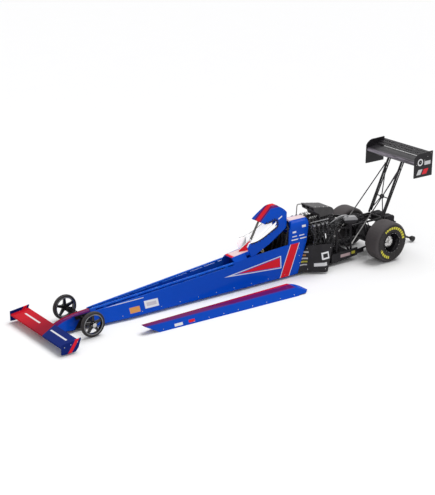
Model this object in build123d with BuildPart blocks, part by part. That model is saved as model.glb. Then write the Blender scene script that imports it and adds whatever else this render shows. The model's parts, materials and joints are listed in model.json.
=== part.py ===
from build123d import *
import os

os.makedirs("parts", exist_ok=True)

# A 1:24 display model of a drag racing car with its top cover taken off and laid beside it.
# Millimetres. Lengths run forward from the rear axle, widths run left from the car's middle
# plane and heights run up from the floor.

# Wheels and axles
wheelbase = 317.5
front_tyre_r = 10.9
front_tyre_w = 3.4
front_track = 45.6
front_rim_r = 9.1
front_spokes = 5
front_axle_r = 1.0
rear_tyre_r = 19.1
rear_tyre_w = 18.4
rear_width = 74.0
rear_rim_r = 9.8
rear_axle_r = 1.6
wheelie_x = -57.0
wheelie_r = 2.6
wheelie_clear = 0.8
wheelie_axle_r = 0.6
running_fit = 0.05
seat_gap = 0.02

# Body shell
floor_z = 2.4
skin = 1.2
body_front_x = wheelbase - 9.5
body_low = (
    (body_front_x, 8.8), (body_front_x - 33.0, 11.6), (204.0, 12.4), (150.0, 13.2), (104.0, 13.4),
    (78.0, 13.4))
rail_front = (body_front_x - 2.0, 2.1, 14.5)
rail_rear = (104.0, 10.45, 30.5)
rail_r = 0.95
rail_gap = 0.95
rim_out = 0.75
rim_up = 0.6
bay_rear_x = 165.0
bay_front_x = body_front_x - 5.0
rear_edge = ((95.6, 1.0), (83.4, 31.1), (80.0, 50.0), (79.5, 53.0))
panel_gap = 0.3
screw_x = (200.0, 120.0)
screw_r = 1.3

# Cowl, deflector and cockpit shroud
cowl_front = (164.0, 5.2, 30.0)
cowl_rear = (141.0, 6.0, 33.0)
shroud_half = 9.0
shroud_skin = 1.1
arm_slot_half = 6.6
deflector_x = (152.5, 142.0)
deflector_half = 4.6
deflector_top = 42.2

# Shoulder panel
shoulder_front_x = 104.3
shoulder_top = 51.2

# Engine
engine_x = (54.0, 79.0)
crank_z = 13.0
deck_reach = 10.0
head_w = 7.0
head_h = 4.0
valve_cover_w = 4.0
valve_cover_h = 3.0
port_x = (59.0, 64.0, 69.0, 74.0)
header_r = 1.35
header_bore_r = 1.0
blower_half = 7.0
blower_z = (31.0, 49.6)
hat_half = 9.0

# Front wing
front_span = 86.0
nose_overhang = 40.5
nose_reach = wheelbase + nose_overhang
front_wing_chord = 17.8
front_wing_rear_x = nose_reach - front_wing_chord
plate_t = 1.0

# Rear wing and its stand
rear_span = 66.8
rear_wing_x = (-27.4, -50.6)
rear_wing_z = (76.0, 99.8)
strut_y = 9.0
strut_foot = (-12.0, 35.2)
strut_top = (-36.55, 90.2)
hub_z = 52.0

# Top cover, lying on the floor beside the left side
cover_y = 42.0
cover_rear = (112.0, 10.6, 5.6)
cover_lap = 32.0
cover_front = (cover_rear[0] + bay_front_x - bay_rear_x + cover_lap, 4.6, 2.6)
cover_h = 7.2
cover_skin = 0.8

# The part's origin is on the floor in the middle of everything that stands there
tail_reach = wheelie_x - wheelie_r
rear_x = -(nose_reach + tail_reach) / 2
mid_y = (front_span / 2 - cover_y - cover_rear[1]) / 2
front_z = front_tyre_r
rear_z = rear_tyre_r
sides = (("left", 1), ("right", -1))


def place(x, y, z):
    """A point given from the rear axle, the middle plane and the floor."""
    return Vector(rear_x + x, mid_y + y, z)


def across(x):
    """Cross-section plane at a station: its own x runs left, its own y runs up."""
    return Plane(origin=place(x, 0, 0), x_dir=(0, 1, 0), z_dir=(1, 0, 0))


def beside(y):
    """Side-view plane: its own x runs forward from the rear axle, its own y runs up."""
    return Plane(origin=place(0, y, 0), x_dir=(1, 0, 0), z_dir=(0, -1, 0))


def level(z):
    """Plan plane at a height: its own x runs forward, its own y runs left."""
    return Plane(origin=place(0, 0, z), x_dir=(1, 0, 0), z_dir=(0, 0, 1))


def bar(points, radius, bend=0.0):
    """A round bar along straight runs, with tangent arcs of the given radius at its corners."""
    stops = [place(*point) for point in points]
    with BuildPart() as rod:
        with BuildLine() as path:
            if bend:
                FilletPolyline(*stops, radius=bend)
            else:
                Polyline(*stops)
        with BuildSketch(Plane(origin=path.line @ 0, z_dir=path.line % 0)):
            Circle(radius)
        sweep(path=path.line)
    return rod.part


def rail_at(x):
    """Half-width and height of the upper frame rail at a station, level behind its rear end."""
    share = (rail_front[0] - max(x, rail_rear[0])) / (rail_front[0] - rail_rear[0])
    half = rail_front[1] + share * (rail_rear[1] - rail_front[1])
    return half, rail_front[2] + share * (rail_rear[2] - rail_front[2])


def low_at(x):
    """Half-width of the floor at a station, straight between the body's stations."""
    for (x0, low0), (x1, low1) in zip(body_low, body_low[1:]):
        if x1 <= x <= x0:
            return low0 + (low1 - low0) * (x0 - x) / (x0 - x1)
    return body_low[0][1]


def wall_at(x, z):
    """Half-width of the body side's outer face at a station and height."""
    half, rail_z = rail_at(x)
    top_z = rail_z + rim_up
    share = (z - floor_z) / (top_z - floor_z)
    return low_at(x) + share * (half + rim_out - low_at(x))


def section(x, z0, z1, inset=0.0):
    """Corners of the body's section between two heights, drawn in by an inset."""
    low = wall_at(x, z0) - inset
    top = wall_at(x, z1) - inset
    return [(-low, z0), (low, z0), (top, z1), (-top, z1)]


# Tub: floor and two leaning sides, open on top, with the bay's rail gap and base screw holes
with BuildPart() as tub:
    for x, low in body_low:
        with BuildSketch(across(x)):
            Polygon(*section(x, floor_z, rail_at(x)[1] + rim_up), align=None)
    loft(ruled=True)
    for x, low in body_low:
        with BuildSketch(across(x)):
            Polygon(*section(x, floor_z + skin, rail_at(x)[1] + 2 * rim_up, skin), align=None)
    loft(ruled=True, mode=Mode.SUBTRACT)
    with BuildSketch(beside(0)):
        bay = [(x, rail_at(x)[1] - rail_r - rail_gap) for x in (bay_front_x, bay_rear_x)]
        Polygon(*bay, (bay_rear_x, 60), (bay_front_x, 60), align=None)
        Polygon(*rear_edge[:2], (rear_edge[1][0], 60), (40, 60), (40, 0), align=None)
    extrude(amount=30, both=True, mode=Mode.SUBTRACT)
    with BuildSketch(level(0)):
        with Locations(*[(x, 0) for x in screw_x]):
            Circle(screw_r)
    extrude(amount=floor_z + 2 * skin, mode=Mode.SUBTRACT)
tub.part.label = "tub"
export_step(tub.part, "parts/tub.step")

# Nose: rounded shell end with a cross slot for the front axle
nose_stations = (
    (body_front_x, 8.8, 2.8, 13.4, 14.9, floor_z),
    (wheelbase + 8.5, 7.4, 2.9, 11.8, 13.2, 2.6),
    (nose_reach - 20.0, 5.6, 2.5, 9.0, 10.2, 2.9),
    (nose_reach - 12.0, 3.4, 1.6, 5.6, 6.4, 3.4),
)
axle_slot_x = (wheelbase - 7.9, wheelbase + 7.9)
axle_slot_top = 12.4
with BuildPart() as nose:
    for x, low, top, side_z, ridge_z, keel_z in nose_stations:
        with BuildSketch(across(x)):
            with BuildLine():
                Polyline((top, side_z), (low, keel_z), (-low, keel_z), (-top, side_z))
                ThreePointArc((-top, side_z), (0, ridge_z), (top, side_z))
            make_face()
    loft()
    with BuildSketch(beside(0)):
        Polygon(
            (axle_slot_x[0], 0), (axle_slot_x[1], 0), (axle_slot_x[1], axle_slot_top),
            (axle_slot_x[0], axle_slot_top), align=None)
    extrude(amount=20, both=True, mode=Mode.SUBTRACT)
nose.part.label = "nose"
export_step(nose.part, "parts/nose.step")

# Front wing board, with a thin wedge section that rises to the rear
board_low = (nose_reach, 6.6)
board_high = (front_wing_rear_x + 1.2, 9.2)
with BuildPart() as front_wing:
    with BuildSketch(beside(front_span / 2 - plate_t)):
        with BuildLine():
            ThreePointArc((board_low[0] - 1.0, 6.0), board_low, (board_low[0] - 1.0, 7.7))
            Line((board_low[0] - 1.0, 7.7), (board_high[0], board_high[1] + 0.5))
            Line((board_high[0], board_high[1] + 0.5), (board_high[0], board_high[1]))
            Line((board_high[0], board_high[1]), (board_low[0] - 1.0, 6.0))
        make_face()
    extrude(amount=front_span - 2 * plate_t)
front_wing.part.label = "front_wing"
export_step(front_wing.part, "parts/front_wing.step")

# Saddle between the nose and the board
with BuildPart() as wing_mount:
    with BuildSketch(beside(0)):
        Polygon(
            (nose_reach - 19.5, 4), (nose_reach - 12.6, 4), (nose_reach - 7.5, 9),
            (nose_reach - 16.4, 9), align=None)
    extrude(amount=2.4, both=True)
    add(nose.part, mode=Mode.SUBTRACT)
    add(front_wing.part, mode=Mode.SUBTRACT)
    with BuildSketch(beside(0)):
        Polygon(
            (nose_reach - 28, 0), (nose_reach + 2, 0), (nose_reach + 2, 4.4), (nose_reach - 28, 4.4),
            align=None)
        Polygon(
            board_low, (board_low[0], 20), (nose_reach - 28, 20),
            (nose_reach - 28, board_high[1] + 0.9), align=None)
    extrude(amount=5, both=True, mode=Mode.SUBTRACT)
wing_mount.part.label = "wing_mount"
export_step(wing_mount.part, "parts/wing_mount.step")

# Front wing end plates
for side, way in sides:
    with BuildPart() as front_end_plate:
        with BuildSketch(beside(way * (front_span - plate_t) / 2)):
            Polygon(
                (nose_reach, 1.5), (nose_reach, 9.9), (front_wing_rear_x, 12.0),
                (front_wing_rear_x + 2.6, 4.6), (front_wing_rear_x + 5.4, 1.5), align=None)
        extrude(amount=plate_t / 2, both=True)
    front_end_plate.part.label = f"front_end_plate_{side}"
    export_step(front_end_plate.part, f"parts/front_end_plate_{side}.step")

# Front axle: carrier and filler block in the nose slot, tube, stub ends with caps, arms and tie rod
hub_half = 1.8
cap_y = front_track / 2 + hub_half + 0.15
knuckle_y = front_track / 2 - hub_half - 0.9
tie_rod_x = wheelbase - 4.6
slot_gap = 0.15
with BuildPart() as front_axle:
    with BuildSketch(beside(0)):
        Polygon(
            (wheelbase - 3.4, 5.0), (wheelbase + 4.6, 5.0), (wheelbase + 5.6, axle_slot_top),
            (wheelbase - 3.4, axle_slot_top), align=None)
    extrude(amount=4.6, both=True)
    with BuildSketch(across(axle_slot_x[0] + slot_gap)):
        Polygon((-6.8, 3.0), (6.8, 3.0), (2.7, axle_slot_top), (-2.7, axle_slot_top), align=None)
    extrude(amount=axle_slot_x[1] - axle_slot_x[0] - 2 * slot_gap)
    add(bar([(wheelbase, -knuckle_y, front_z), (wheelbase, knuckle_y, front_z)], 1.4))
    add(bar([(wheelbase, -cap_y, front_z), (wheelbase, cap_y, front_z)], front_axle_r))
    add(bar([(tie_rod_x, -knuckle_y, 9.6), (tie_rod_x, knuckle_y, 9.6)], 0.5))
    for side, way in sides:
        with BuildSketch(beside(way * knuckle_y)):
            with Locations((wheelbase, front_z)):
                Circle(2.1)
            Polygon(
                (tie_rod_x - 0.9, 8.8), (wheelbase, 9.4), (wheelbase, 12.2),
                (tie_rod_x - 0.9, 10.4), align=None)
        extrude(amount=0.7, both=True)
        with BuildSketch(beside(way * (cap_y + 0.4))):
            with Locations((wheelbase, front_z)):
                Circle(1.7)
        extrude(amount=0.4, both=True)
front_axle.part.label = "front_axle"
export_step(front_axle.part, "parts/front_axle.step")

# Front wheels: five-spoke rim with a hub bore, and a thin round-shouldered tyre
for side, way in sides:
    wheel_y = way * front_track / 2
    wheel_plane = Plane(
        origin=place(wheelbase, wheel_y, front_z), x_dir=(1, 0, 0), z_dir=(0, -1, 0))
    wheel_axis = Axis(place(wheelbase, 0, front_z), (0, 1, 0))
    with BuildPart() as front_rim:
        with BuildSketch(wheel_plane):
            Circle(front_rim_r)
            Circle(front_rim_r - 1.1, mode=Mode.SUBTRACT)
        extrude(amount=1.5, both=True)
        with BuildSketch(wheel_plane):
            with PolarLocations(0, front_spokes, start_angle=90):
                Polygon((1.6, -1.5), (8.4, -0.8), (8.4, 0.8), (1.6, 1.5), align=None)
        extrude(amount=0.8, both=True)
        with BuildSketch(wheel_plane):
            Circle(2.7)
        extrude(amount=hub_half, both=True)
        with BuildSketch(wheel_plane):
            Circle(front_axle_r + running_fit)
        extrude(amount=4, both=True, mode=Mode.SUBTRACT)
    front_rim.part.label = f"front_rim_{side}"
    export_step(front_rim.part, f"parts/front_rim_{side}.step")

    with BuildPart() as front_tyre:
        with BuildSketch(across(wheelbase)):
            half = front_tyre_w / 2
            bead = front_z + front_rim_r + seat_gap
            crown = front_z + front_tyre_r
            with BuildLine():
                Line((wheel_y - half, bead + 0.9), (wheel_y - half + 0.3, bead))
                Line((wheel_y - half + 0.3, bead), (wheel_y + half - 0.3, bead))
                Line((wheel_y + half - 0.3, bead), (wheel_y + half, bead + 0.9))
                ThreePointArc(
                    (wheel_y + half, bead + 0.9), (wheel_y, crown), (wheel_y - half, bead + 0.9))
            make_face()
        revolve(axis=wheel_axis)
    front_tyre.part.label = f"front_tyre_{side}"
    export_step(front_tyre.part, f"parts/front_tyre_{side}.step")

# Upper frame rails with tabs on the body side and uprights down the inside of the wall
tab_pitch = 30.5
tab_count = int((bay_front_x - bay_rear_x - 15.0) / tab_pitch) + 1
tab_x = [bay_front_x - 9.0 - number * tab_pitch for number in range(tab_count)]
upright_x = [x - tab_pitch / 2 for x in tab_x[:-1]]
for side, way in sides:
    with BuildPart() as frame_rail:
        ends = [(x, way * rail_at(x)[0], rail_at(x)[1]) for x in (bay_front_x - 0.2, bay_rear_x + 0.2)]
        add(bar(ends, rail_r))
        for x in tab_x:
            half, rail_z = rail_at(x)
            rise = rail_at(x - 1.5)[1] - rail_z
            foot = rail_z - rail_r - rail_gap
            with BuildSketch(beside(way * (half + 0.15))):
                Polygon(
                    (x - 1.5, foot + rise), (x + 1.5, foot - rise), (x + 1.5, rail_z),
                    (x - 1.5, rail_z), align=None)
            extrude(amount=0.45, both=True)
        for x in upright_x:
            rail_z = rail_at(x)[1]
            inside = skin + 0.85
            head = (x, way * (wall_at(x, rail_z) - inside), rail_z)
            foot = (x, way * (wall_at(x, floor_z + skin) - inside), floor_z + skin + 0.3)
            add(bar([head, foot], 0.6))
    frame_rail.part.label = f"frame_rail_{side}"
    export_step(frame_rail.part, f"parts/frame_rail_{side}.step")


def cowl_section(x, top, ridge, inset):
    """Corners of the cowl's section, standing on the body sides and drawn in by an inset."""
    foot_z = rail_at(x)[1] + rim_up
    foot = wall_at(x, foot_z) - inset
    return [(-foot, foot_z), (foot, foot_z), (top - inset, ridge - inset), (inset - top, ridge - inset)]


# Cowl: flat-topped hood ahead of the cockpit, open underneath, with the dash at its rear end
with BuildPart() as cowl:
    for inset in (0.0, 1.1):
        for x, top, ridge in (cowl_front, cowl_rear):
            with BuildSketch(across(x)):
                Polygon(*cowl_section(x, top, ridge, inset), align=None)
        loft(ruled=True, mode=Mode.SUBTRACT if inset else Mode.ADD)
    with BuildSketch(level(0)):
        with Locations((cowl_rear[0] + 4, arm_slot_half + 5), (cowl_rear[0] + 4, -arm_slot_half - 5)):
            Rectangle(10.4, 10)
    extrude(amount=60, mode=Mode.SUBTRACT)
    with BuildSketch(across(cowl_rear[0])):
        Polygon((-6, 20), (6, 20), (arm_slot_half, 29), (5.4, 32.4), (-5.4, 32.4),
                (-arm_slot_half, 29), align=None)
    extrude(amount=1.2)
cowl.part.label = "cowl"
export_step(cowl.part, "parts/cowl.step")


def cowl_top(x):
    """Height of the cowl's flat top at a station."""
    share = (cowl_front[0] - x) / (cowl_front[0] - cowl_rear[0])
    return cowl_front[2] + share * (cowl_rear[2] - cowl_front[2])


# Wind deflector: a small V-shaped screen that rises from the cowl towards the driver
with BuildPart() as wind_deflector:
    with BuildSketch(level(cowl_front[2])):
        Polygon(
            (deflector_x[0], 0), (deflector_x[1], deflector_half), (deflector_x[1], deflector_half - 1.2),
            (deflector_x[0] - 2.6, 0), (deflector_x[1], 1.2 - deflector_half),
            (deflector_x[1], -deflector_half), align=None)
    extrude(amount=deflector_top - cowl_front[2])
    with BuildSketch(beside(0)):
        Polygon(
            (deflector_x[0] + 2, cowl_top(deflector_x[0]) - 0.6), (deflector_x[1] + 0.8, deflector_top),
            (deflector_x[1] + 0.8, 60), (170, 60), (170, 31), align=None)
        Polygon(
            cowl_front[::2], cowl_rear[::2], (cowl_rear[0], 20), (cowl_front[0], 20), align=None)
    extrude(amount=12, both=True, mode=Mode.SUBTRACT)
wind_deflector.part.label = "wind_deflector"
export_step(wind_deflector.part, "parts/wind_deflector.step")


def shroud_solid(inset):
    """The helmet shape where a side outline, a rounded plan and an arched front all meet."""
    with BuildPart() as helmet:
        with BuildSketch(beside(0)):
            with BuildLine():
                Polyline((131.8, 56.6), (120.0, 67.8))
                ThreePointArc((120.0, 67.8), (115.6, 69.3), (111.2, 67.2))
                ThreePointArc((111.2, 67.2), (103.2, 60.0), (101.0, 53.4))
                Polyline(
                    (101.0, 53.4), (101.8, 49.6), (108.6, 46.2), (115.4, 42.0), (125.0, 36.0),
                    (137.6, 30.4), (140.6, rail_at(140.6)[1] + rim_up),
                    (145.4, rail_at(145.4)[1] + rim_up), (149.4, 37.4), (146.8, 41.6), (131.8, 56.6))
            make_face()
            if inset:
                offset(amount=-inset, kind=Kind.INTERSECTION, mode=Mode.REPLACE)
        extrude(amount=shroud_half + 1, both=True)
        half = shroud_half - inset
        with BuildSketch(across(90)):
            with BuildLine():
                Polyline((-half, 50.5), (-half, 20), (half, 20), (half, 50.5))
                ThreePointArc((half, 50.5), (half - 1.0, 58.6), (half - 3.4, 65.0 - inset))
                ThreePointArc((half - 3.4, 65.0 - inset), (0, 69.4 - inset), (3.4 - half, 65.0 - inset))
                ThreePointArc((3.4 - half, 65.0 - inset), (1.0 - half, 58.6), (-half, 50.5))
            make_face()
        extrude(amount=80, mode=Mode.INTERSECT)
        with BuildSketch(level(20)):
            with BuildLine():
                Polyline((108.6, half), (155, half), (155, -half), (108.6, -half))
                ThreePointArc((108.6, -half), (101.0 + inset, 0), (108.6, half))
            make_face()
        extrude(amount=60, mode=Mode.INTERSECT)
    return helmet.part


# Cockpit shroud: hollow helmet cap on two rear pillars, which sweep forward as low arms to the cowl.
# One wide opening runs from window to window round the front.
with BuildPart() as cockpit_shroud:
    add(shroud_solid(0.0))
    add(shroud_solid(shroud_skin), mode=Mode.SUBTRACT)
    with BuildSketch(beside(0)):
        Polygon((152, 40.6), (140.4, 41.0), (132.7, 43.0), (124.1, 47.0), (118.9, 49.6), (116.6, 51.6),
                (116.8, 55.2), (119.4, 56.8), (124.3, 55.4), (130.6, 55.2), (134.0, 58.4), (152, 58.4),
                align=None)
    extrude(amount=20, both=True, mode=Mode.SUBTRACT)
    with BuildSketch(beside(0)):
        Polygon((136, 26), (136, 44), (156, 44), (156, 26), align=None)
        Polygon((104.4, 52.0), (109.4, 48.6), (116.4, 44.2), (126.0, 38.2), (138.2, 33.0), (138.2, 20),
                (104.4, 20), align=None)
    extrude(amount=shroud_half - shroud_skin - 0.5, both=True, mode=Mode.SUBTRACT)
cockpit_shroud.part.label = "cockpit_shroud"
export_step(cockpit_shroud.part, "parts/cockpit_shroud.step")

# Windscreen post: one flat bar from the brim of the shroud down to the cowl, inside the deflector's V
with BuildPart() as windscreen_post:
    with BuildSketch(beside(0)):
        Polygon((129.8, 57.0), (131.2, 56.0), (144.6, 32.0), (143.2, 32.0), align=None)
    extrude(amount=1.0, both=True)
    add(cockpit_shroud.part, mode=Mode.SUBTRACT)
    with BuildSketch(beside(0)):
        Polygon(cowl_front[::2], cowl_rear[::2], (cowl_rear[0], 20), (cowl_front[0], 20), align=None)
    extrude(amount=12, both=True, mode=Mode.SUBTRACT)
windscreen_post.part.label = "windscreen_post"
export_step(windscreen_post.part, "parts/windscreen_post.step")

# Roll hoop behind the shroud, standing on the tub floor
with BuildPart() as roll_hoop:
    add(bar(
        [(112.6, -9.4, floor_z + skin + 0.3), (102.6, -8.0, 45.0), (97.8, 0, 47.6), (102.6, 8.0, 45.0),
         (112.6, 9.4, floor_z + skin + 0.3)], 0.8, bend=3.0))
roll_hoop.part.label = "roll_hoop"
export_step(roll_hoop.part, "parts/roll_hoop.step")

# Bucket seat: pan, reclined back and low side bolsters
with BuildPart() as seat:
    with BuildSketch(beside(0)):
        Polygon((128, floor_z + skin), (128, 9.5), (113, 12), (107, 17), (100.2, 38), (97.6, 38),
                (101.4, floor_z + skin), align=None)
    extrude(amount=7.6, both=True)
    with BuildSketch(beside(0)):
        Polygon((130, 7), (112, 8.4), (104.6, 13), (99.4, 30), (100.6, 42), (130, 42), align=None)
    extrude(amount=6.2, both=True, mode=Mode.SUBTRACT)
seat.part.label = "seat"
export_step(seat.part, "parts/seat.step")

# Steering yoke on its column, fixed to the dash
column_foot = (cowl_rear[0] - 0.2, 0, 25.0)
column_head = (128.5, 0, 28.6)
with BuildPart() as steering_yoke:
    add(bar([column_foot, column_head], 0.7))
    yoke_way = place(*column_head) - place(*column_foot)
    with BuildSketch(Plane(origin=place(*column_head), x_dir=(0, 1, 0), z_dir=yoke_way)):
        RectangleRounded(10.0, 5.0, 1.6)
        with GridLocations(5.2, 0, 2, 1):
            RectangleRounded(2.6, 3.0, 0.8, mode=Mode.SUBTRACT)
        with Locations((0, 3.4)):
            Rectangle(4.4, 3.4, mode=Mode.SUBTRACT)
    extrude(amount=0.5, both=True)
steering_yoke.part.label = "steering_yoke"
export_step(steering_yoke.part, "parts/steering_yoke.step")

# Shoulder panel: arched skin behind the driver, flush with the body sides
with BuildPart() as shoulder_panel:
    for inset in (0.0, 1.1):
        half = wall_at(rail_rear[0], rail_rear[2] + rim_up) - inset
        top = shoulder_top - inset
        with BuildSketch(across(70)):
            with BuildLine():
                Polyline((-half + 0.9, top - 7), (-half, 30.0), (half, 30.0), (half - 0.9, top - 7))
                ThreePointArc((half - 0.9, top - 7), (half - 2.7, top - 2.3), (half - 6.6, top))
                ThreePointArc((half - 6.6, top), (0, top + 0.6), (6.6 - half, top))
                ThreePointArc((6.6 - half, top), (2.7 - half, top - 2.3), (-half + 0.9, top - 7))
            make_face()
        extrude(amount=40, mode=Mode.SUBTRACT if inset else Mode.ADD)
    with BuildSketch(beside(0)):
        Polygon(*rear_edge[1:], (rear_edge[3][0], 70), (60, 70), (60, 31.1), align=None)
        Polygon((shoulder_front_x, 31.1), (103.0, 44), (99.4, 49.4), (97.6, 53), (97.6, 70), (120, 70),
                (120, 31.1), align=None)
        Polygon((60, 20), (120, 20), (120, 31.1), (60, 31.1), align=None)
    extrude(amount=20, both=True, mode=Mode.SUBTRACT)
shoulder_panel.part.label = "shoulder_panel"
export_step(shoulder_panel.part, "parts/shoulder_panel.step")

# Firewall: a leaning plate that closes the cockpit ahead of the engine
with BuildPart() as firewall:
    with BuildSketch(beside(0)):
        Polygon((97.0, floor_z + skin), (85.6, 31.1), (82.6, 49.4), (83.8, 49.4), (86.8, 31.1),
                (98.2, floor_z + skin), align=None)
    extrude(amount=20, both=True)
    with BuildSketch(across(70)):
        Polygon((-11.9, floor_z + skin), (11.9, floor_z + skin), (9.6, 31.1), (8.8, 43), (4.6, 49.6),
                (-4.6, 49.6), (-8.8, 43), (-9.6, 31.1), align=None)
    extrude(amount=40, mode=Mode.INTERSECT)
firewall.part.label = "firewall"
export_step(firewall.part, "parts/firewall.step")

# Engine block: one plain V-shaped block with its sump
engine_long = engine_x[1] - engine_x[0]
engine_mid = sum(engine_x) / 2
slope = 0.5 ** 0.5
deck_y = deck_reach * slope
deck_z = crank_z + deck_reach * slope
deck_half = head_w / 2 * slope
with BuildPart() as engine_block:
    with BuildSketch(across(engine_x[0])):
        outer = [(5.4, 4.6), (6.6, 11.0), (deck_y + deck_half, deck_z - deck_half),
                 (deck_y - deck_half, deck_z + deck_half), (2.4, 20.4)]
        Polygon(*outer, *[(-y, z) for y, z in reversed(outer)], align=None)
    extrude(amount=engine_long)
    with BuildSketch(across(engine_x[1])):
        with Locations((0, crank_z)):
            Circle(4.2)
    extrude(amount=3.0)
engine_block.part.label = "engine_block"
export_step(engine_block.part, "parts/engine_block.step")

# Cylinder heads with ribbed valve covers, and the upswept header pipes
head_mid = deck_reach + head_h / 2
port_y = head_mid * slope + deck_half
port_z = crank_z + head_mid * slope - deck_half
for side, way in sides:
    deck = Plane(
        origin=place(engine_mid, way * deck_y, deck_z), x_dir=(1, 0, 0), z_dir=(0, way * slope, slope))
    with BuildPart() as cylinder_head:
        with BuildSketch(deck):
            Rectangle(engine_long - 1.0, head_w)
        extrude(amount=head_h)
        with BuildSketch(deck.offset(head_h)):
            RectangleRounded(engine_long - 2.0, valve_cover_w, 1.2)
        extrude(amount=valve_cover_h)
        chamfer(cylinder_head.faces().sort_by(Axis((0, 0, 0), (0, way, 1)))[-1].edges(), 0.7)
        with BuildSketch(deck.offset(head_h + valve_cover_h)):
            with GridLocations(4.6, 0, 5, 1):
                Rectangle(1.0, valve_cover_w - 2.0)
        extrude(amount=0.5)
    cylinder_head.part.label = f"cylinder_head_{side}"
    export_step(cylinder_head.part, f"parts/cylinder_head_{side}.step")

    with BuildPart() as headers:
        for radius, mode in ((header_r, Mode.ADD), (header_bore_r, Mode.SUBTRACT)):
            for x in port_x:
                pipe = [(x, way * port_y, port_z), (x, way * (port_y + 3.6), port_z),
                        (x + 1.0, way * (port_y + 3.8), 28.0), (x + 5.0, way * (port_y + 4.6), 46.6)]
                add(bar(pipe, radius, bend=1.8), mode=mode)
        flange = Plane(
            origin=place(engine_mid, way * port_y, port_z), x_dir=(1, 0, 0),
            z_dir=(0, way * slope, -slope))
        with BuildSketch(flange):
            Rectangle(engine_long - 3.0, head_h - 0.4)
        extrude(amount=0.7)
        add(cylinder_head.part, mode=Mode.SUBTRACT)
    headers.part.label = f"headers_{side}"
    export_step(headers.part, f"parts/headers_{side}.step")

# Supercharger on its manifold, with case ribs, the drive pulley at its front and a gear case behind
rib_x = (57.0, 61.0, 65.0, 69.0, 73.0)
with BuildPart() as supercharger:
    with BuildSketch(across(engine_x[0] + 2)):
        Polygon((-4.2, 22.9), (4.2, 22.9), (4.2, blower_z[0] + 1), (-4.2, blower_z[0] + 1), align=None)
    extrude(amount=engine_long - 4)
    with BuildSketch(across(engine_x[0])):
        with Locations((0, sum(blower_z) / 2)):
            RectangleRounded(2 * blower_half, blower_z[1] - blower_z[0], 4.0)
    extrude(amount=engine_long)
    for x in rib_x:
        with BuildSketch(across(x)):
            with Locations((0, sum(blower_z) / 2)):
                RectangleRounded(2 * blower_half + 1.2, blower_z[1] - blower_z[0], 4.0)
        extrude(amount=1.2)
    with BuildSketch(across(engine_x[1])):
        with Locations((0, 38.0)):
            Circle(4.6)
    extrude(amount=3.0)
    with BuildSketch(across(engine_x[0])):
        with Locations((0, 42.0)):
            RectangleRounded(11.0, 13.6, 3.0)
    extrude(amount=-7.0)
supercharger.part.label = "supercharger"
export_step(supercharger.part, "parts/supercharger.step")

# Drive belt from the crank pulley up to the supercharger pulley
with BuildPart() as drive_belt:
    with BuildSketch(across(engine_x[1] + 0.4)):
        with BuildLine():
            Line((4.9, crank_z), (5.3, 38.0))
            ThreePointArc((5.3, 38.0), (0, 43.3), (-5.3, 38.0))
            Line((-5.3, 38.0), (-4.9, crank_z))
            ThreePointArc((-4.9, crank_z), (0, crank_z - 4.9), (4.9, crank_z))
        make_face()
        with BuildLine():
            Line((4.22, crank_z), (4.62, 38.0))
            ThreePointArc((4.62, 38.0), (0, 42.62), (-4.62, 38.0))
            Line((-4.62, 38.0), (-4.22, crank_z))
            ThreePointArc((-4.22, crank_z), (0, crank_z - 4.22), (4.22, crank_z))
        make_face(mode=Mode.SUBTRACT)
    extrude(amount=2.2)
drive_belt.part.label = "drive_belt"
export_step(drive_belt.part, "parts/drive_belt.step")

# Injector hat: wedge-shaped scoop with three throttle bores in its mouth
with BuildPart() as injector_hat:
    with BuildSketch(beside(0)):
        with BuildLine():
            Polyline((72.6, 55.8), (74.4, 60.5), (56.0, 57.5))
            ThreePointArc((56.0, 57.5), (49.8, 55.2), (46.8, 51.2))
            Polyline((46.8, 51.2), (49.0, blower_z[1]), (66.0, blower_z[1]), (67.0, 52.6), (72.6, 55.8))
        make_face()
    extrude(amount=hat_half, both=True)
    with BuildSketch(level(40)):
        Polygon((76, -hat_half), (76, hat_half), (60, hat_half - 0.4), (45, 6.4), (45, -6.4),
                (60, 0.4 - hat_half), align=None)
    extrude(amount=30, mode=Mode.INTERSECT)
    with BuildSketch(across(78)):
        with Locations((-5.6, 58.1), (0, 58.1), (5.6, 58.1)):
            SlotOverall(4.9, 2.9)
    extrude(amount=-9, mode=Mode.SUBTRACT)
injector_hat.part.label = "injector_hat"
export_step(injector_hat.part, "parts/injector_hat.step")

# Bent line from the shoulder panel to the hat
with BuildPart() as breather_line:
    add(bar([(83.4, -4.4, shoulder_top + 0.1), (82.6, -4.6, 61.6), (74.4, -7.0, 59.9)], 0.45, bend=1.8))
breather_line.part.label = "breather_line"
export_step(breather_line.part, "parts/breather_line.step")

# Clutch can and coupler between the engine and the rear axle
with BuildPart() as clutch_can:
    with BuildSketch(across(engine_x[0])):
        with Locations((0, 14.4)):
            Circle(9.4)
    with BuildSketch(across(38.0)):
        with Locations((0, 14.4)):
            Circle(6.4)
    loft()
    with BuildSketch(across(38.0)):
        with Locations((0, 15.6)):
            Circle(3.2)
    extrude(amount=-25.0)
clutch_can.part.label = "clutch_can"
export_step(clutch_can.part, "parts/clutch_can.step")

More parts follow.
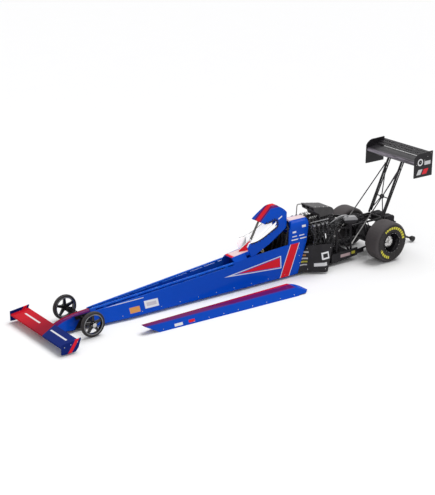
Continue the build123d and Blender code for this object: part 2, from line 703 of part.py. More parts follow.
# Rear frame: side trusses beside the engine and the axle, tied by two cross bars
upper_frame = ((80.6, 9.4, 34.0), (46.0, 9.4, 34.0), (-12.0, strut_y, 34.0))
with BuildPart() as rear_frame:
    for side, way in sides:
        for start, end in (
            (upper_frame[0], upper_frame[1]),
            (upper_frame[1], upper_frame[2]),
            ((46.0, 11.2, 5.8), (6.0, 10.2, 10.0)),
            ((46.0, 9.4, 34.0), (46.0, 11.2, 5.8)),
            ((28.0, 9.3, 34.0), (28.0, 10.8, 7.2)),
            ((46.0, 9.4, 34.0), (28.0, 10.8, 7.2)),
            ((6.0, 10.2, 10.0), (12.0, 9.2, 34.0)),
        ):
            add(bar([(x, way * y, z) for x, y, z in (start, end)], 0.95))
    for x, y in ((46.0, 9.4), (-12.0, strut_y)):
        add(bar([(x, -y, 34.0), (x, y, 34.0)], 0.95))
rear_frame.part.label = "rear_frame"
export_step(rear_frame.part, "parts/rear_frame.step")

# Breather tank: flattened oval can on a bracket over the left frame rail
with BuildPart() as breather_tank:
    with BuildSketch(Plane(origin=place(30.5, 11.0, 41.4), x_dir=(1, 0, 0.45), z_dir=(0.45, 0, -1)
                           ).rotated((90, 0, 0))):
        SlotOverall(13.0, 6.0)
    extrude(amount=2.6, both=True)
    with BuildSketch(level(34.97)):
        with Locations((30.5, 10.6)):
            Rectangle(3.0, 2.4)
    extrude(amount=5.0)
breather_tank.part.label = "breather_tank"
export_step(breather_tank.part, "parts/breather_tank.step")

# Engine side panels: thin sheets, flush with the body at the front, that flare out ahead of the tyres
panel_stations = (
    (96.0, 11.0, 27.6, 13.5, 2.6),
    (88.0, 11.4, 27.6, 13.7, 2.5),
    (82.0, 16.2, 27.4, 18.0, 2.3),
    (71.0, 18.0, 27.0, 25.0, 1.8),
    (58.0, 18.0, 25.0, 24.0, 2.2),
)
panel_t = 0.9
for side, way in sides:
    with BuildPart() as side_panel:
        for x, top, top_z, low, low_z in panel_stations:
            with BuildSketch(across(x)):
                Polygon(
                    (way * (low - panel_t), low_z), (way * low, low_z), (way * top, top_z),
                    (way * (top - panel_t), top_z), align=None)
        loft(ruled=True)
        with BuildSketch(beside(0)):
            front = [(x - panel_gap, z) for x, z in rear_edge[:2]]
            Polygon(*front, (120, 31.1), (120, 1.0), align=None)
            Polygon((69.6, 0), (61.8, 15.0), (57.6, 24.0), (50, 24.0), (50, 0), align=None)
        extrude(amount=40, both=True, mode=Mode.SUBTRACT)
    side_panel.part.label = f"side_panel_{side}"
    export_step(side_panel.part, f"parts/side_panel_{side}.step")

# Belly pan under the engine with upright strips ahead of the rear tyres
with BuildPart() as belly_pan:
    with BuildSketch(beside(0)):
        Polygon((93.4, 2.6), (54, 2.6), (22, 5.2), (22, 6.2), (54, 3.6), (93.4, 3.6), align=None)
    extrude(amount=12.4, both=True)
    for side, way in sides:
        with BuildSketch(beside(way * 12.9)):
            Polygon((54, 2.6), (22, 5.2), (22, 12.6), (54, 11.4), align=None)
        extrude(amount=0.5, both=True)
belly_pan.part.label = "belly_pan"
export_step(belly_pan.part, "parts/belly_pan.step")

# Rear axle housing: centre case, axle tubes with the shaft bore, and plates up to the frame
housing_half = rear_width / 2 - rear_tyre_w - 0.9
with BuildPart() as axle_housing:
    with BuildSketch(beside(0)):
        with Locations((0, rear_z)):
            Circle(8.0)
    extrude(amount=6.5, both=True)
    chamfer(axle_housing.edges().filter_by(GeomType.CIRCLE), 1.6)
    with BuildSketch(beside(0)):
        with Locations((0, rear_z)):
            Circle(3.0)
    extrude(amount=housing_half, both=True)
    for side, way in sides:
        with BuildSketch(beside(way * strut_y)):
            Polygon((-6, 15), (6, 15), (5, 24), (-6, 32.9), (-12.9, 32.9), (-6, 22), align=None)
        extrude(amount=0.9, both=True)
    with BuildSketch(beside(0)):
        with Locations((0, rear_z)):
            Circle(rear_axle_r + running_fit)
    extrude(amount=40, both=True, mode=Mode.SUBTRACT)
axle_housing.part.label = "axle_housing"
export_step(axle_housing.part, "parts/axle_housing.step")

# Rear axle shaft with its end nuts
with BuildPart() as rear_axle:
    with BuildSketch(beside(0)):
        with Locations((0, rear_z)):
            Circle(rear_axle_r)
    extrude(amount=rear_width / 2 - 6.0, both=True)
rear_axle.part.label = "rear_axle"
export_step(rear_axle.part, "parts/rear_axle.step")

# Rear wheels: deep-dish rim with a raised hub, and a fat slick with rounded shoulders
for side, way in sides:
    outer_y = way * rear_width / 2
    rear_axis = Axis(place(0, 0, rear_z), (0, 1, 0))
    with BuildPart() as rear_rim:
        with BuildSketch(across(0)):
            depth = [(0.6, rear_rim_r), (0.6, 9.0), (1.6, 8.6), (9.0, 7.6), (10.4, 6.4), (10.4, 4.2),
                     (7.2, 3.8), (7.2, rear_axle_r), (13.0, rear_axle_r), (13.0, 4.6),
                     (rear_tyre_w - 0.6, 8.8), (rear_tyre_w - 0.6, rear_rim_r)]
            Polygon(*[(outer_y - way * y, rear_z + r) for y, r in depth], align=None)
        revolve(axis=rear_axis)
    rear_rim.part.label = f"rear_rim_{side}"
    export_step(rear_rim.part, f"parts/rear_rim_{side}.step")

    with BuildPart() as rear_tyre:
        with BuildSketch(across(0)):
            centre_y = outer_y - way * rear_tyre_w / 2
            half = rear_tyre_w / 2
            bead = rear_z + rear_rim_r + seat_gap
            crown = rear_z + rear_tyre_r
            with BuildLine():
                Polyline((centre_y - half, crown - 3.4), (centre_y - half + 0.9, bead),
                         (centre_y + half - 0.9, bead), (centre_y + half, crown - 3.4))
                ThreePointArc((centre_y + half, crown - 3.4), (centre_y + half - 0.8, crown - 0.9),
                              (centre_y + half - 3.2, crown))
                Line((centre_y + half - 3.2, crown), (centre_y - half + 3.2, crown))
                ThreePointArc((centre_y - half + 3.2, crown), (centre_y - half + 0.8, crown - 0.9),
                              (centre_y - half, crown - 3.4))
            make_face()
        revolve(axis=rear_axis)
    rear_tyre.part.label = f"rear_tyre_{side}"
    export_step(rear_tyre.part, f"parts/rear_tyre_{side}.step")


def strut_at(z):
    """Distance ahead of the rear axle of the wing stand's leaning line at a height."""
    share = (z - strut_foot[1]) / (strut_top[1] - strut_foot[1])
    return strut_foot[0] + share * (strut_top[0] - strut_foot[0])


# Wing struts: flattened main bar with a thin tube behind it, joined by three small webs
lean = Vector(strut_top[0] - strut_foot[0], 0, strut_top[1] - strut_foot[1])
web_z = (44.0, 62.0, 78.0)
wing_struts = []
for side, way in sides:
    with BuildPart() as wing_strut:
        foot_plane = Plane(origin=place(strut_foot[0], way * strut_y, strut_foot[1]),
                           x_dir=(0, 1, 0), z_dir=lean)
        with BuildSketch(foot_plane):
            SlotOverall(2.4, 1.6, rotation=90)
        extrude(amount=lean.length)
        add(bar([(-15.0, way * strut_y, 36.4), (-40.6, way * strut_y, 92.2)], 0.6))
        for z in web_z:
            with BuildSketch(beside(way * strut_y)):
                Polygon((strut_at(z), z), (strut_at(z) - 2.9, z - 0.2), (strut_at(z) - 3.2, z + 0.8),
                        (strut_at(z), z + 1.4), align=None)
            extrude(amount=0.4, both=True)
    wing_struts.append(wing_strut.part)
    wing_strut.part.label = f"wing_strut_{side}"
    export_step(wing_strut.part, f"parts/wing_strut_{side}.step")

    with BuildPart() as wing_stay:
        add(bar([(28.0, way * 11.75, 17.5), (strut_at(80.5), way * 10.4, 80.5)], 0.55))
    wing_stay.part.label = f"wing_stay_{side}"
    export_step(wing_stay.part, f"parts/wing_stay_{side}.step")

# Cross brace between the struts: four arms and a tie bar that meet in a hub ring
brace_half = strut_y - 0.8
with BuildPart() as cross_brace:
    hub_plane = Plane(origin=place(strut_at(hub_z), 0, hub_z), x_dir=(0, 1, 0),
                      z_dir=lean.cross(Vector(0, 1, 0)))
    for side, way in sides:
        for z in (38.5, hub_z, 77.0):
            add(bar([(strut_at(hub_z), way * 0.4, hub_z), (strut_at(z), way * brace_half, z)], 0.5))
    with BuildSketch(hub_plane):
        Circle(2.3)
    extrude(amount=0.8, both=True)
    with BuildSketch(hub_plane):
        Circle(1.2)
    extrude(amount=3, both=True, mode=Mode.SUBTRACT)
    add(wing_struts, mode=Mode.SUBTRACT)
cross_brace.part.label = "cross_brace"
export_step(cross_brace.part, "parts/cross_brace.step")

# Rear wing: main plane and three slotted flaps between end plates
inner_span = rear_span - 2 * plate_t
with BuildPart() as rear_wing:
    with BuildSketch(beside(inner_span / 2)):
        with BuildLine():
            ThreePointArc((-30.4, 87.4), (-28.0, 89.7), (-30.8, 92.0))
            ThreePointArc((-30.8, 92.0), (-36.6, 93.1), (-42.4, 93.2))
            Line((-42.4, 93.2), (-42.4, 92.5))
            ThreePointArc((-42.4, 92.5), (-36.2, 89.2), (-30.4, 87.4))
        make_face()
    extrude(amount=inner_span)
    add(wing_struts, mode=Mode.SUBTRACT)
rear_wing.part.label = "rear_wing"
export_step(rear_wing.part, "parts/rear_wing.step")

flap_start = (-40.8, 94.1)
flap_step = (-3.35, 1.3)
for number in range(3):
    x = flap_start[0] + number * flap_step[0]
    z = flap_start[1] + number * flap_step[1]
    with BuildPart() as wing_flap:
        with BuildSketch(beside(inner_span / 2)):
            Polygon((x, z), (x, z + 0.6), (x - 3.0, z + 1.4), (x - 3.1, z + 0.9), align=None)
        extrude(amount=inner_span)
    wing_flap.part.label = f"rear_wing_flap_{number + 1}"
    export_step(wing_flap.part, f"parts/rear_wing_flap_{number + 1}.step")

for side, way in sides:
    with BuildPart() as rear_end_plate:
        with BuildSketch(beside(way * (rear_span - plate_t) / 2)):
            with BuildLine():
                front, back = rear_wing_x
                low, top = rear_wing_z
                Polyline((front, top - 5.6), (front, low), (back, low), (back, top), (back + 13.0, top - 0.4))
                ThreePointArc((back + 13.0, top - 0.4), (front - 3.4, top - 2.0), (front, top - 5.6))
            make_face()
        extrude(amount=plate_t / 2, both=True)
    rear_end_plate.part.label = f"rear_end_plate_{side}"
    export_step(rear_end_plate.part, f"parts/rear_end_plate_{side}.step")

# Parachute packs: two padded boxes on one shelf behind the frame
with BuildPart() as parachute_packs:
    with BuildSketch(level(27.6)):
        with Locations((-20.4, 0)):
            Rectangle(14.6, 25.0)
    extrude(amount=1.0)
    with BuildSketch(level(28.6)):
        with GridLocations(0, 13.0, 1, 2):
            with Locations((-21.2, 0)):
                RectangleRounded(11.0, 11.0, 2.0)
    extrude(amount=5.8)
    fillet(parachute_packs.faces().sort_by(Axis.Z)[-2:].edges(), 1.2)
    with BuildSketch(beside(0)):
        Polygon((-13.0, 27.6), (-14.4, 27.6), (-14.4, 34.6), (-13.0, 34.6), align=None)
    extrude(amount=6.0, both=True)
parachute_packs.part.label = "parachute_packs"
export_step(parachute_packs.part, "parts/parachute_packs.step")

# Wheelie bar: two legs with a tie and bored ends, and its pair of small wheels on one axle
wheelie_z = wheelie_r + wheelie_clear
leg_y = 4.4
with BuildPart() as wheelie_bar:
    for side, way in sides:
        add(bar([(-7.2, way * leg_y, 20.0), (wheelie_x, way * leg_y, wheelie_z)], 0.8))
        add(bar([(-6.4, way * leg_y, 14.0), (-34.0, way * leg_y, wheelie_z + 7.6)], 0.6))
        with BuildSketch(beside(way * leg_y)):
            with Locations((wheelie_x, wheelie_z)):
                Circle(1.5)
        extrude(amount=0.9, both=True)
    add(bar([(-34.0, -leg_y, wheelie_z + 7.6), (-34.0, leg_y, wheelie_z + 7.6)], 0.6))
    add(axle_housing.part, mode=Mode.SUBTRACT)
    with BuildSketch(beside(0)):
        with Locations((wheelie_x, wheelie_z)):
            Circle(wheelie_axle_r + running_fit)
    extrude(amount=20, both=True, mode=Mode.SUBTRACT)
wheelie_bar.part.label = "wheelie_bar"
export_step(wheelie_bar.part, "parts/wheelie_bar.step")

with BuildPart() as wheelie_wheels:
    with BuildSketch(beside(0)):
        with Locations((wheelie_x, wheelie_z)):
            Circle(wheelie_axle_r)
    extrude(amount=8.4, both=True)
    for side, way in sides:
        with BuildSketch(beside(way * 6.9)):
            with Locations((wheelie_x, wheelie_z)):
                Circle(wheelie_r)
        extrude(amount=1.3, both=True)
wheelie_wheels.part.label = "wheelie_wheels"
export_step(wheelie_wheels.part, "parts/wheelie_wheels.step")


def cover_solid(inset):
    """The cover's outer form drawn in by an inset, with slanted ends and cut rear corners."""
    corner = cover_rear[0] + inset
    slant = corner + 2 * inset
    with BuildPart() as form:
        for x, low, top in (cover_rear, cover_front):
            with BuildSketch(across(x)):
                Polygon(
                    (cover_y - low + inset, 0), (cover_y + low - inset, 0),
                    (cover_y + top - inset, cover_h - inset), (cover_y - top + inset, cover_h - inset),
                    align=None)
        loft(ruled=True)
        with BuildSketch(beside(0)):
            Polygon((slant, 1.6), (slant + 15.6, cover_h), (slant + 15.6, 20), (100, 20), (100, 1.6),
                    align=None)
        extrude(amount=80, both=True, mode=Mode.SUBTRACT)
        with BuildSketch(level(0)):
            for way in (1, -1):
                Polygon((corner, cover_y + way * 5.2), (corner + 10.4, cover_y + way * 14),
                        (100, cover_y + way * 14), (100, cover_y + way * 5.2), align=None)
        extrude(amount=20, mode=Mode.SUBTRACT)
    return form.part


# Top cover: a thin inverted trough that tapers to the front, open at its slanted front end
with BuildPart() as top_cover:
    add(cover_solid(0.0))
    add(cover_solid(cover_skin), mode=Mode.SUBTRACT)
    with BuildSketch(beside(0)):
        Polygon((cover_front[0] - 13.5, 0), (cover_front[0], cover_h), (cover_front[0] + 8, cover_h),
                (cover_front[0] + 8, 0), align=None)
        Polygon((cover_rear[0] - 2, 0), (cover_rear[0] + 13.4, 0), (cover_rear[0] + 11.8, 0.9),
                (cover_rear[0] - 2, 0.9), align=None)
    extrude(amount=80, both=True, mode=Mode.SUBTRACT)
top_cover.part.label = "top_cover"
export_step(top_cover.part, "parts/top_cover.step")
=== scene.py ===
import json
import math

import bmesh
import bpy
import numpy as np
from bpy.props import FloatProperty, FloatVectorProperty, PointerProperty
from mathutils import Matrix, Vector


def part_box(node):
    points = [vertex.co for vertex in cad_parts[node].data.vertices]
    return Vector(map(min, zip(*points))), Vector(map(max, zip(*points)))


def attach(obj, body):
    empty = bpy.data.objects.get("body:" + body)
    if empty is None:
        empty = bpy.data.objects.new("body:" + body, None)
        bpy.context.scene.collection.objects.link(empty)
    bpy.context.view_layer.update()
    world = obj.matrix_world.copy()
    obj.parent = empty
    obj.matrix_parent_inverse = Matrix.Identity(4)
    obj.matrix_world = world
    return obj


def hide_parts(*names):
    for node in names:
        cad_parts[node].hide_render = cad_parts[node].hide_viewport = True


bl_info = {
    "name": "Drag racing car model",
    "version": (1, 0, 0),
    "blender": (4, 5, 0),
    "location": "View3D > Sidebar > Drag car",
    "description": "Paint, mouldings and small trim of a 1:24 drag racing car model",
    "category": "Object",
}

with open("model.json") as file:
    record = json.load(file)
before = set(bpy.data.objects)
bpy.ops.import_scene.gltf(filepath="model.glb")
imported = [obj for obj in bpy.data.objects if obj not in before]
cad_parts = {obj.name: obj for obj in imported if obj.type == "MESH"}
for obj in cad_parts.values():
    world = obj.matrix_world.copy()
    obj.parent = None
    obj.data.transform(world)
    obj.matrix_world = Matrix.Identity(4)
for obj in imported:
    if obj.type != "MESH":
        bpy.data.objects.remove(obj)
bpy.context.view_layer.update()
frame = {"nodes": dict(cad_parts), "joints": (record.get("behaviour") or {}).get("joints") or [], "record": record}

# Places are millimetres: x forward from the rear axle, y left of the middle plane, z up from the floor
MM = 0.001
JOINTS = {joint["name"]: joint for joint in frame["joints"]}
AXLE_X, MID_Y = JOINTS["rear_wheels_spin"]["pos_m"][:2]
SIDES = (("left", 1), ("right", -1))
ALONG, ACROSS, UP = (1, 0, 0), (0, 1, 0), (0, 0, 1)


def place(points):
    """Millimetres on the car as metres in the frame."""
    return np.asarray(points, float) * MM + (AXLE_X, MID_Y, 0.0)


def on_car(point):
    """A point of the frame, in metres, as millimetres on the car."""
    return (np.asarray(point, float) - (AXLE_X, MID_Y, 0.0)) / MM


def corners_of(node):
    """A node's lowest and highest corners, in millimetres on the car."""
    return (on_car(corner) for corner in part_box(node))


def wheel_centre(joint):
    """Where a wheel turns, in millimetres on the car."""
    return on_car(JOINTS[joint]["pos_m"])


def mirrored(points, way):
    """Points of the left side, or their mirror images on the right."""
    return np.asarray(points, float) * (1, way, 1)


# Settings


def colour(name, description, default):
    """A paint colour that the user can change."""
    return FloatVectorProperty(
        name=name, description=description, default=default, size=3, min=0.0, max=1.0, subtype="COLOR")


def length(name, description, default):
    """A size in metres that the user can change."""
    return FloatProperty(name=name, description=description, default=default, min=0.0, unit="LENGTH")


def angle(name, description, degrees):
    """A turn that the user can change."""
    return FloatProperty(
        name=name, description=description, default=math.radians(degrees), subtype="ANGLE", unit="ROTATION")


def strength(name, description, default):
    """How strong a light is, which the user can change."""
    return FloatProperty(name=name, description=description, default=default, min=0.0)


class DragCarPaint(bpy.types.PropertyGroup):
    """Colours of the paint, rubber and mouldings"""

    blue: colour("Blue", "Gloss body paint", (0.003, 0.070, 0.52))
    # Inside the front bay this lighter blue is painted light that offsets the bay's shade
    light_blue: colour("Light blue", "Inside of the front bay and the frame rails", (0.016, 0.14, 0.66))
    deep_blue: colour("Deep blue", "Front wing and its end plates", (0.003, 0.016, 0.15))
    red: colour("Red", "Bands and stripes", (0.74, 0.014, 0.030))
    maroon: colour("Maroon", "Front wing and middle of the top bands", (0.27, 0.006, 0.022))
    purple: colour("Purple", "Edge of the top bands", (0.13, 0.010, 0.12))
    white: colour("White", "Edge lines and blank labels", (0.82, 0.82, 0.84))
    orange: colour("Orange", "Small blank label", (0.72, 0.33, 0.10))
    yellow: colour("Yellow", "Dashes on the slicks", (0.70, 0.64, 0.06))
    black: colour("Black", "Panels, frame and engine", (0.010, 0.009, 0.011))
    rubber: colour("Rubber", "Tyre tread", (0.064, 0.056, 0.058))
    grey: colour("Grey", "Injector hat", (0.048, 0.046, 0.048))
    metal: colour("Metal", "Bare bright metal", (0.62, 0.61, 0.60))


class DragCarTrim(bpy.types.PropertyGroup):
    """Sizes of the small trim"""

    bolt_radius: length("Bolt radius", "Hexagon bolts on the engine", 0.00042)
    rivet_radius: length("Rivet radius", "Round fasteners on the skins", 0.00034)
    lead_radius: length("Lead radius", "Ignition leads", 0.00028)
    hose_radius: length("Hose radius", "Fuel and oil hoses", 0.00055)
    seal_radius: length("Seal radius", "Edging of the cockpit windows", 0.00048)
    strap_width: length("Strap width", "Harness straps", 0.0017)


class DragCarStage(bpy.types.PropertyGroup):
    """Camera, floor and lights"""

    camera_place: FloatVectorProperty(
        name="Camera place", description="Camera from the rear axle's middle, on the floor", size=3,
        default=(0.79312, 0.83798, 0.41156), subtype="XYZ", unit="LENGTH")
    heading: angle("Heading", "Direction of view in plan", -126.367)
    pitch: angle("Pitch", "Direction of view over the horizon", -19.6215)
    roll: angle("Roll", "Turn about the line of view", 0.1977)
    focal: FloatProperty(
        name="Focal length", description="Lens in pixels of the photograph", default=1262.34, min=1.0)
    key: strength("Key light", "Strength of the soft overhead light", 2.2)
    spread: angle("Key spread", "Width of the overhead light in the sky", 44.0)
    fill: strength("Fill light", "Power of the light beside the camera", 2.5)
    sky: strength("Sky", "Soft light from all sides", 0.42)
    floor: colour("Floor", "Studio floor", (0.93, 0.93, 0.935))


# Shapes as arrays

SHARP_DEGREES = 40.0


def turns(count):
    """Angles evenly round a circle."""
    return np.linspace(0, 2 * np.pi, count, endpoint=False)


def skin(rings, closed=False):
    """A surface through a row of rings of points. The last ring joins the first where it is closed, and
    otherwise both are filled."""
    rows, columns = rings.shape[:2]
    row, column = np.meshgrid(np.arange(rows if closed else rows - 1), np.arange(columns), indexing="ij")
    below, beside = (row + 1) % rows, (column + 1) % columns
    corners = (
        row * columns + column, below * columns + column, below * columns + beside, row * columns + beside)
    faces = np.stack(corners, -1).reshape(-1, 4).tolist()
    if not closed:
        ends = np.arange(columns)
        faces += [ends[::-1].tolist(), (ends + (rows - 1) * columns).tolist()]
    return rings.reshape(-1, 3), faces


def joined(shapes):
    """Several surfaces as one mesh."""
    starts = np.cumsum([0] + [len(points) for points, faces in shapes])
    faces = [[start + i for i in face] for start, (points, part) in zip(starts, shapes) for face in part]
    return np.concatenate([points for points, part in shapes]), faces


def unit(vectors):
    """Vectors of length one."""
    return vectors / np.linalg.norm(vectors, axis=-1, keepdims=True)


def carried(path, profile, flat=None):
    """A closed profile carried along a path. Each copy stands square to the path: the profile's first
    direction is the path's direction crossed with its flattest one, and the second lies across both."""
    path = np.asarray(path, float)
    run = unit(np.gradient(path, axis=0))
    if flat is None:
        flat = np.linalg.eigh(np.cov(path.T))[1][:, 0]
    across = unit(np.cross(run, flat))
    up = np.cross(across, run)
    points = path[:, None] + profile[..., :1] * across[:, None] + profile[..., 1:] * up[:, None]
    return skin(points)


def tube(path, radius, sides=10):
    """A circle of one radius carried along a path."""
    turn = turns(sides)
    return carried(path, radius * np.stack([np.cos(turn), np.sin(turn)], -1))


def strap(path, width, thick, flat):
    """A flat rectangle with rounded long edges carried along a path, wide along the given direction."""
    turn = turns(12)
    half = (width - thick) / 2
    wide = np.sign(np.sin(turn).round(6)) * half + np.sin(turn) * thick / 2
    return carried(path, np.stack([np.cos(turn) * thick / 2, wide], -1), flat)


def through(points, count):
    """A smooth line through a few points: each stretch is the cubic whose end slopes are half the
    steps between the neighbours on either side."""
    points = np.asarray(points, float)
    last = len(points) - 1
    share = np.linspace(0, last, count)
    index = np.minimum(share.astype(int), last - 1)
    t = (share - index)[:, None]
    before, start, end, after = (points[np.clip(index + k, 0, last)] for k in (-1, 0, 1, 2))
    rise, fall = (end - before) / 2, (after - start) / 2
    bend = 2 * (start - end) + rise + fall
    return start + t * (rise + t * (3 * (end - start) - 2 * rise - fall + t * bend))


def turned(profile, centre, sides, axis=ACROSS, closed=False):
    """A profile of (distance along the axis, radius) turned about an axis through a centre."""
    profile = np.asarray(profile, float)
    axis = unit(np.asarray(axis, float))
    first = unit(np.cross(axis, (0.0, 0.3, 1.0) if abs(axis[2]) < 0.9 else ALONG))
    second = np.cross(axis, first)
    turn = turns(sides)
    spoke = np.cos(turn)[:, None] * first + np.sin(turn)[:, None] * second
    points = np.asarray(centre) + profile[:, :1, None] * axis + profile[:, 1:, None] * spoke
    return skin(points, closed)


def block_shape(centre, size, edge=0.5):
    """A box with cut edges: rings that go out from the lower cap, up the sides and in to the upper cap."""
    half = np.asarray(size, float) / 2
    corner = np.array([(1, 1), (-1, 1), (-1, -1), (1, -1)])
    rings = []
    for inset, up in ((edge, -1), (0.0, -1), (0.0, 1), (edge, 1)):
        level = up * (half[2] - (0.0 if inset else edge))
        flat = corner * (half[:2] - inset)
        rings.append(np.column_stack([flat, np.full(4, level)]) + centre)
    return skin(np.stack(rings))


def heads(places, normals, radius, height, sides=6):
    """Bolt or rivet heads: at each place a low prism with a narrower top stands along its normal."""
    normals = unit(np.broadcast_to(np.asarray(normals, float), np.shape(places)))
    helper = np.where(np.abs(normals[:, 2:]) < 0.9, UP, ALONG)
    first = unit(np.cross(normals, helper))
    second = np.cross(normals, first)
    turn = turns(sides)[:, None]
    shapes = []
    for centre, out, right, up in zip(np.asarray(places, float), normals, first, second):
        spoke = np.cos(turn) * right + np.sin(turn) * up
        rings = [centre + spoke * radius * wide + out * height * rise
                 for wide, rise in ((1.0, -0.3), (1.0, 0.65), (0.72, 1.0))]
        shapes.append(skin(np.stack(rings)))
    return joined(shapes)


def around(centre, radius, count):
    """Places evenly round a circle that faces across the car."""
    turn = turns(count)
    return centre + radius * np.stack([np.cos(turn), 0 * turn, np.sin(turn)], -1)


def on_skin(node, points, way):
    """Where lines through points first meet a node's skin: the places and the outward normals."""
    found = [frame["nodes"][node].ray_cast(Vector(p), Vector(way)) for p in place(points)]
    if not all(hit[0] for hit in found):
        raise RuntimeError(f"a fastener misses {node}")
    return on_car([hit[1] for hit in found]), np.array([hit[2] for hit in found])


# A solid whose finish the new pieces in its slot share
SLOT_NODES = {"bright_metal": "rear_axle", "engine_black": "engine_block", "wheel_black": "rear_rim_left"}


def material_of(node):
    """The finish that a node already has."""
    return frame["nodes"][node].data.materials[0]


def linked(name, data):
    """A new object at the origin of the scene."""
    made = bpy.data.objects.new(name, data)
    bpy.context.scene.collection.objects.link(made)
    return made


def piece(name, shape, slot, body="chassis", material=None, stands_for=()):
    """A new piece from points in millimetres on the car, faces turned outwards, riding on a body. Where it
    has no finish of its own, it shares that of its slot's solid."""
    points, faces = shape
    mesh = bpy.data.meshes.new(name)
    mesh.from_pydata(place(points).tolist(), [], faces)
    work = bmesh.new()
    work.from_mesh(mesh)
    bmesh.ops.recalc_face_normals(work, faces=work.faces)
    work.to_mesh(mesh)
    work.free()
    mesh.shade_smooth()
    mesh.set_sharp_from_angle(angle=math.radians(SHARP_DEGREES))
    mesh.materials.append(material or material_of(SLOT_NODES[slot]))
    made = linked(name, mesh)
    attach(made, body)
    if stands_for:
        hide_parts(*stands_for)
    return made


# Shading

LABEL_BLUR = 0.25
FACING_EDGE = 0.25
FACING_BLUR = 0.1


def toned(tone, share):
    """A colour made lighter or darker."""
    return tuple(c * share for c in tone)


def blended(first, second, share):
    """A colour with a share of another in it."""
    return tuple((1 - share) * a + share * b for a, b in zip(first, second))


class Shade:
    """One socket of a finish. Arithmetic on it adds Math nodes."""

    def __init__(self, finish, socket):
        self.finish = finish
        self.socket = socket

    def math(self, operation, *terms):
        return self.finish.node("ShaderNodeMath", {"operation": operation}, dict(enumerate(terms)))

    def __add__(self, other):
        return self.math("ADD", self, other)

    def __sub__(self, other):
        return self.math("SUBTRACT", self, other)

    def __rsub__(self, other):
        return self.math("SUBTRACT", other, self)

    def __mul__(self, other):
        return self.math("MULTIPLY", self, other)

    def __truediv__(self, other):
        return self.math("DIVIDE", self, other)

    __radd__ = __add__
    __rmul__ = __mul__

    def __abs__(self):
        return self.math("ABSOLUTE", self)

    def __or__(self, other):
        return self.math("MAXIMUM", self, other)

    def over(self, edge, blur):
        """0 below an edge and 1 above it, straight across the blur."""
        settings = {"operation": "MULTIPLY_ADD", "use_clamp": True}
        return self.finish.node("ShaderNodeMath", settings, {0: self, 1: 1 / blur, 2: 0.5 - edge / blur})

    def within(self, low, high, blur):
        """1 between two values."""
        return self.over(low, blur) * (1 - self.over(high, blur))


class Finish:
    """A material that ends in one Principled shader, with places in millimetres on the car."""

    def __init__(self, name, constants, centre=(0.0, 0.0, 0.0)):
        self.material = bpy.data.materials.new(name)
        self.material.use_nodes = True
        self.tree = self.material.node_tree
        self.shader = self.tree.nodes["Principled BSDF"]
        for socket, value in constants.items():
            self.shader.inputs[socket].default_value = value
        coords = self.node("ShaderNodeTexCoord", output="Object")
        centre = tuple(place(centre))
        moved = self.node("ShaderNodeVectorMath", {"operation": "SUBTRACT"}, {0: coords, 1: centre})
        self.point = self.node("ShaderNodeVectorMath", {"operation": "SCALE"}, {0: moved, "Scale": 1 / MM})
        self.x, self.y, self.z = (
            self.node("ShaderNodeSeparateXYZ", {}, {0: self.point}, output) for output in "XYZ")

    def node(self, kind, settings=None, sockets=None, output=0):
        """A node of that kind: its settings are made first, then its sockets are filled or linked."""
        made = self.tree.nodes.new(kind)
        for setting, value in (settings or {}).items():
            setattr(made, setting, value)
        for socket, value in (sockets or {}).items():
            if isinstance(value, Shade):
                self.tree.links.new(value.socket, made.inputs[socket])
            else:
                made.inputs[socket].default_value = value
        return Shade(self, made.outputs[output])

    def mix(self, mask, first, second):
        """One colour where the mask is 0 and another where it is 1."""
        values = [v if isinstance(v, Shade) else (*v, 1.0) for v in (first, second)]
        return self.node("ShaderNodeMix", {"data_type": "RGBA"}, {0: mask, 6: values[0], 7: values[1]}, 2)

    def layered(self, base, layers):
        """Layers of (mask, colour) over a base, each where its mask is 1."""
        for mask, tone in layers:
            base = self.mix(mask, base, tone)
        return base

    def noise(self, grain, detail=2.0, stretch=(1.0, 1.0, 1.0)):
        """Soft noise with grains of that size in millimetres, longer along a stretched direction."""
        scaled = self.node("ShaderNodeVectorMath", {"operation": "DIVIDE"}, {0: self.point, 1: stretch})
        return self.node("ShaderNodeTexNoise", {}, {"Vector": scaled, "Scale": 1 / grain, "Detail": detail})

    def patch(self, rear, front, low, top):
        """1 inside a rectangle over x and z."""
        return self.x.within(rear, front, LABEL_BLUR) * self.z.within(low, top, LABEL_BLUR)

    def from_side(self):
        """The surface's place as the side view shows it, with no y."""
        return self.node("ShaderNodeCombineXYZ", {}, {0: self.x, 2: self.z})

    def facing(self, axis):
        """How far a face looks along an axis of the car, from -1 to 1."""
        normal = self.node("ShaderNodeTexCoord", output="Normal")
        return self.node("ShaderNodeSeparateXYZ", {}, {0: normal}, axis)

    def away(self):
        """How far a face looks away from the middle plane, from -1 to 1."""
        return self.y.math("SIGN", self.y) * self.facing("Y")

    def outside(self):
        """1 on faces that look away from the middle plane."""
        return self.away().over(FACING_EDGE, FACING_BLUR)

    def inside(self):
        """1 on faces that look towards the middle plane."""
        return 1 - self.away().over(-FACING_EDGE, FACING_BLUR)

    def feed(self, socket, value):
        """Link a value that changes over the surface into the shader."""
        self.tree.links.new(value.socket, self.shader.inputs[socket])

    def bump(self, height, distance, strength=0.5):
        """Raise the surface by a height in millimetres."""
        sockets = {"Height": height, "Distance": distance * MM, "Strength": strength}
        self.feed("Normal", self.node("ShaderNodeBump", {}, sockets, "Normal"))


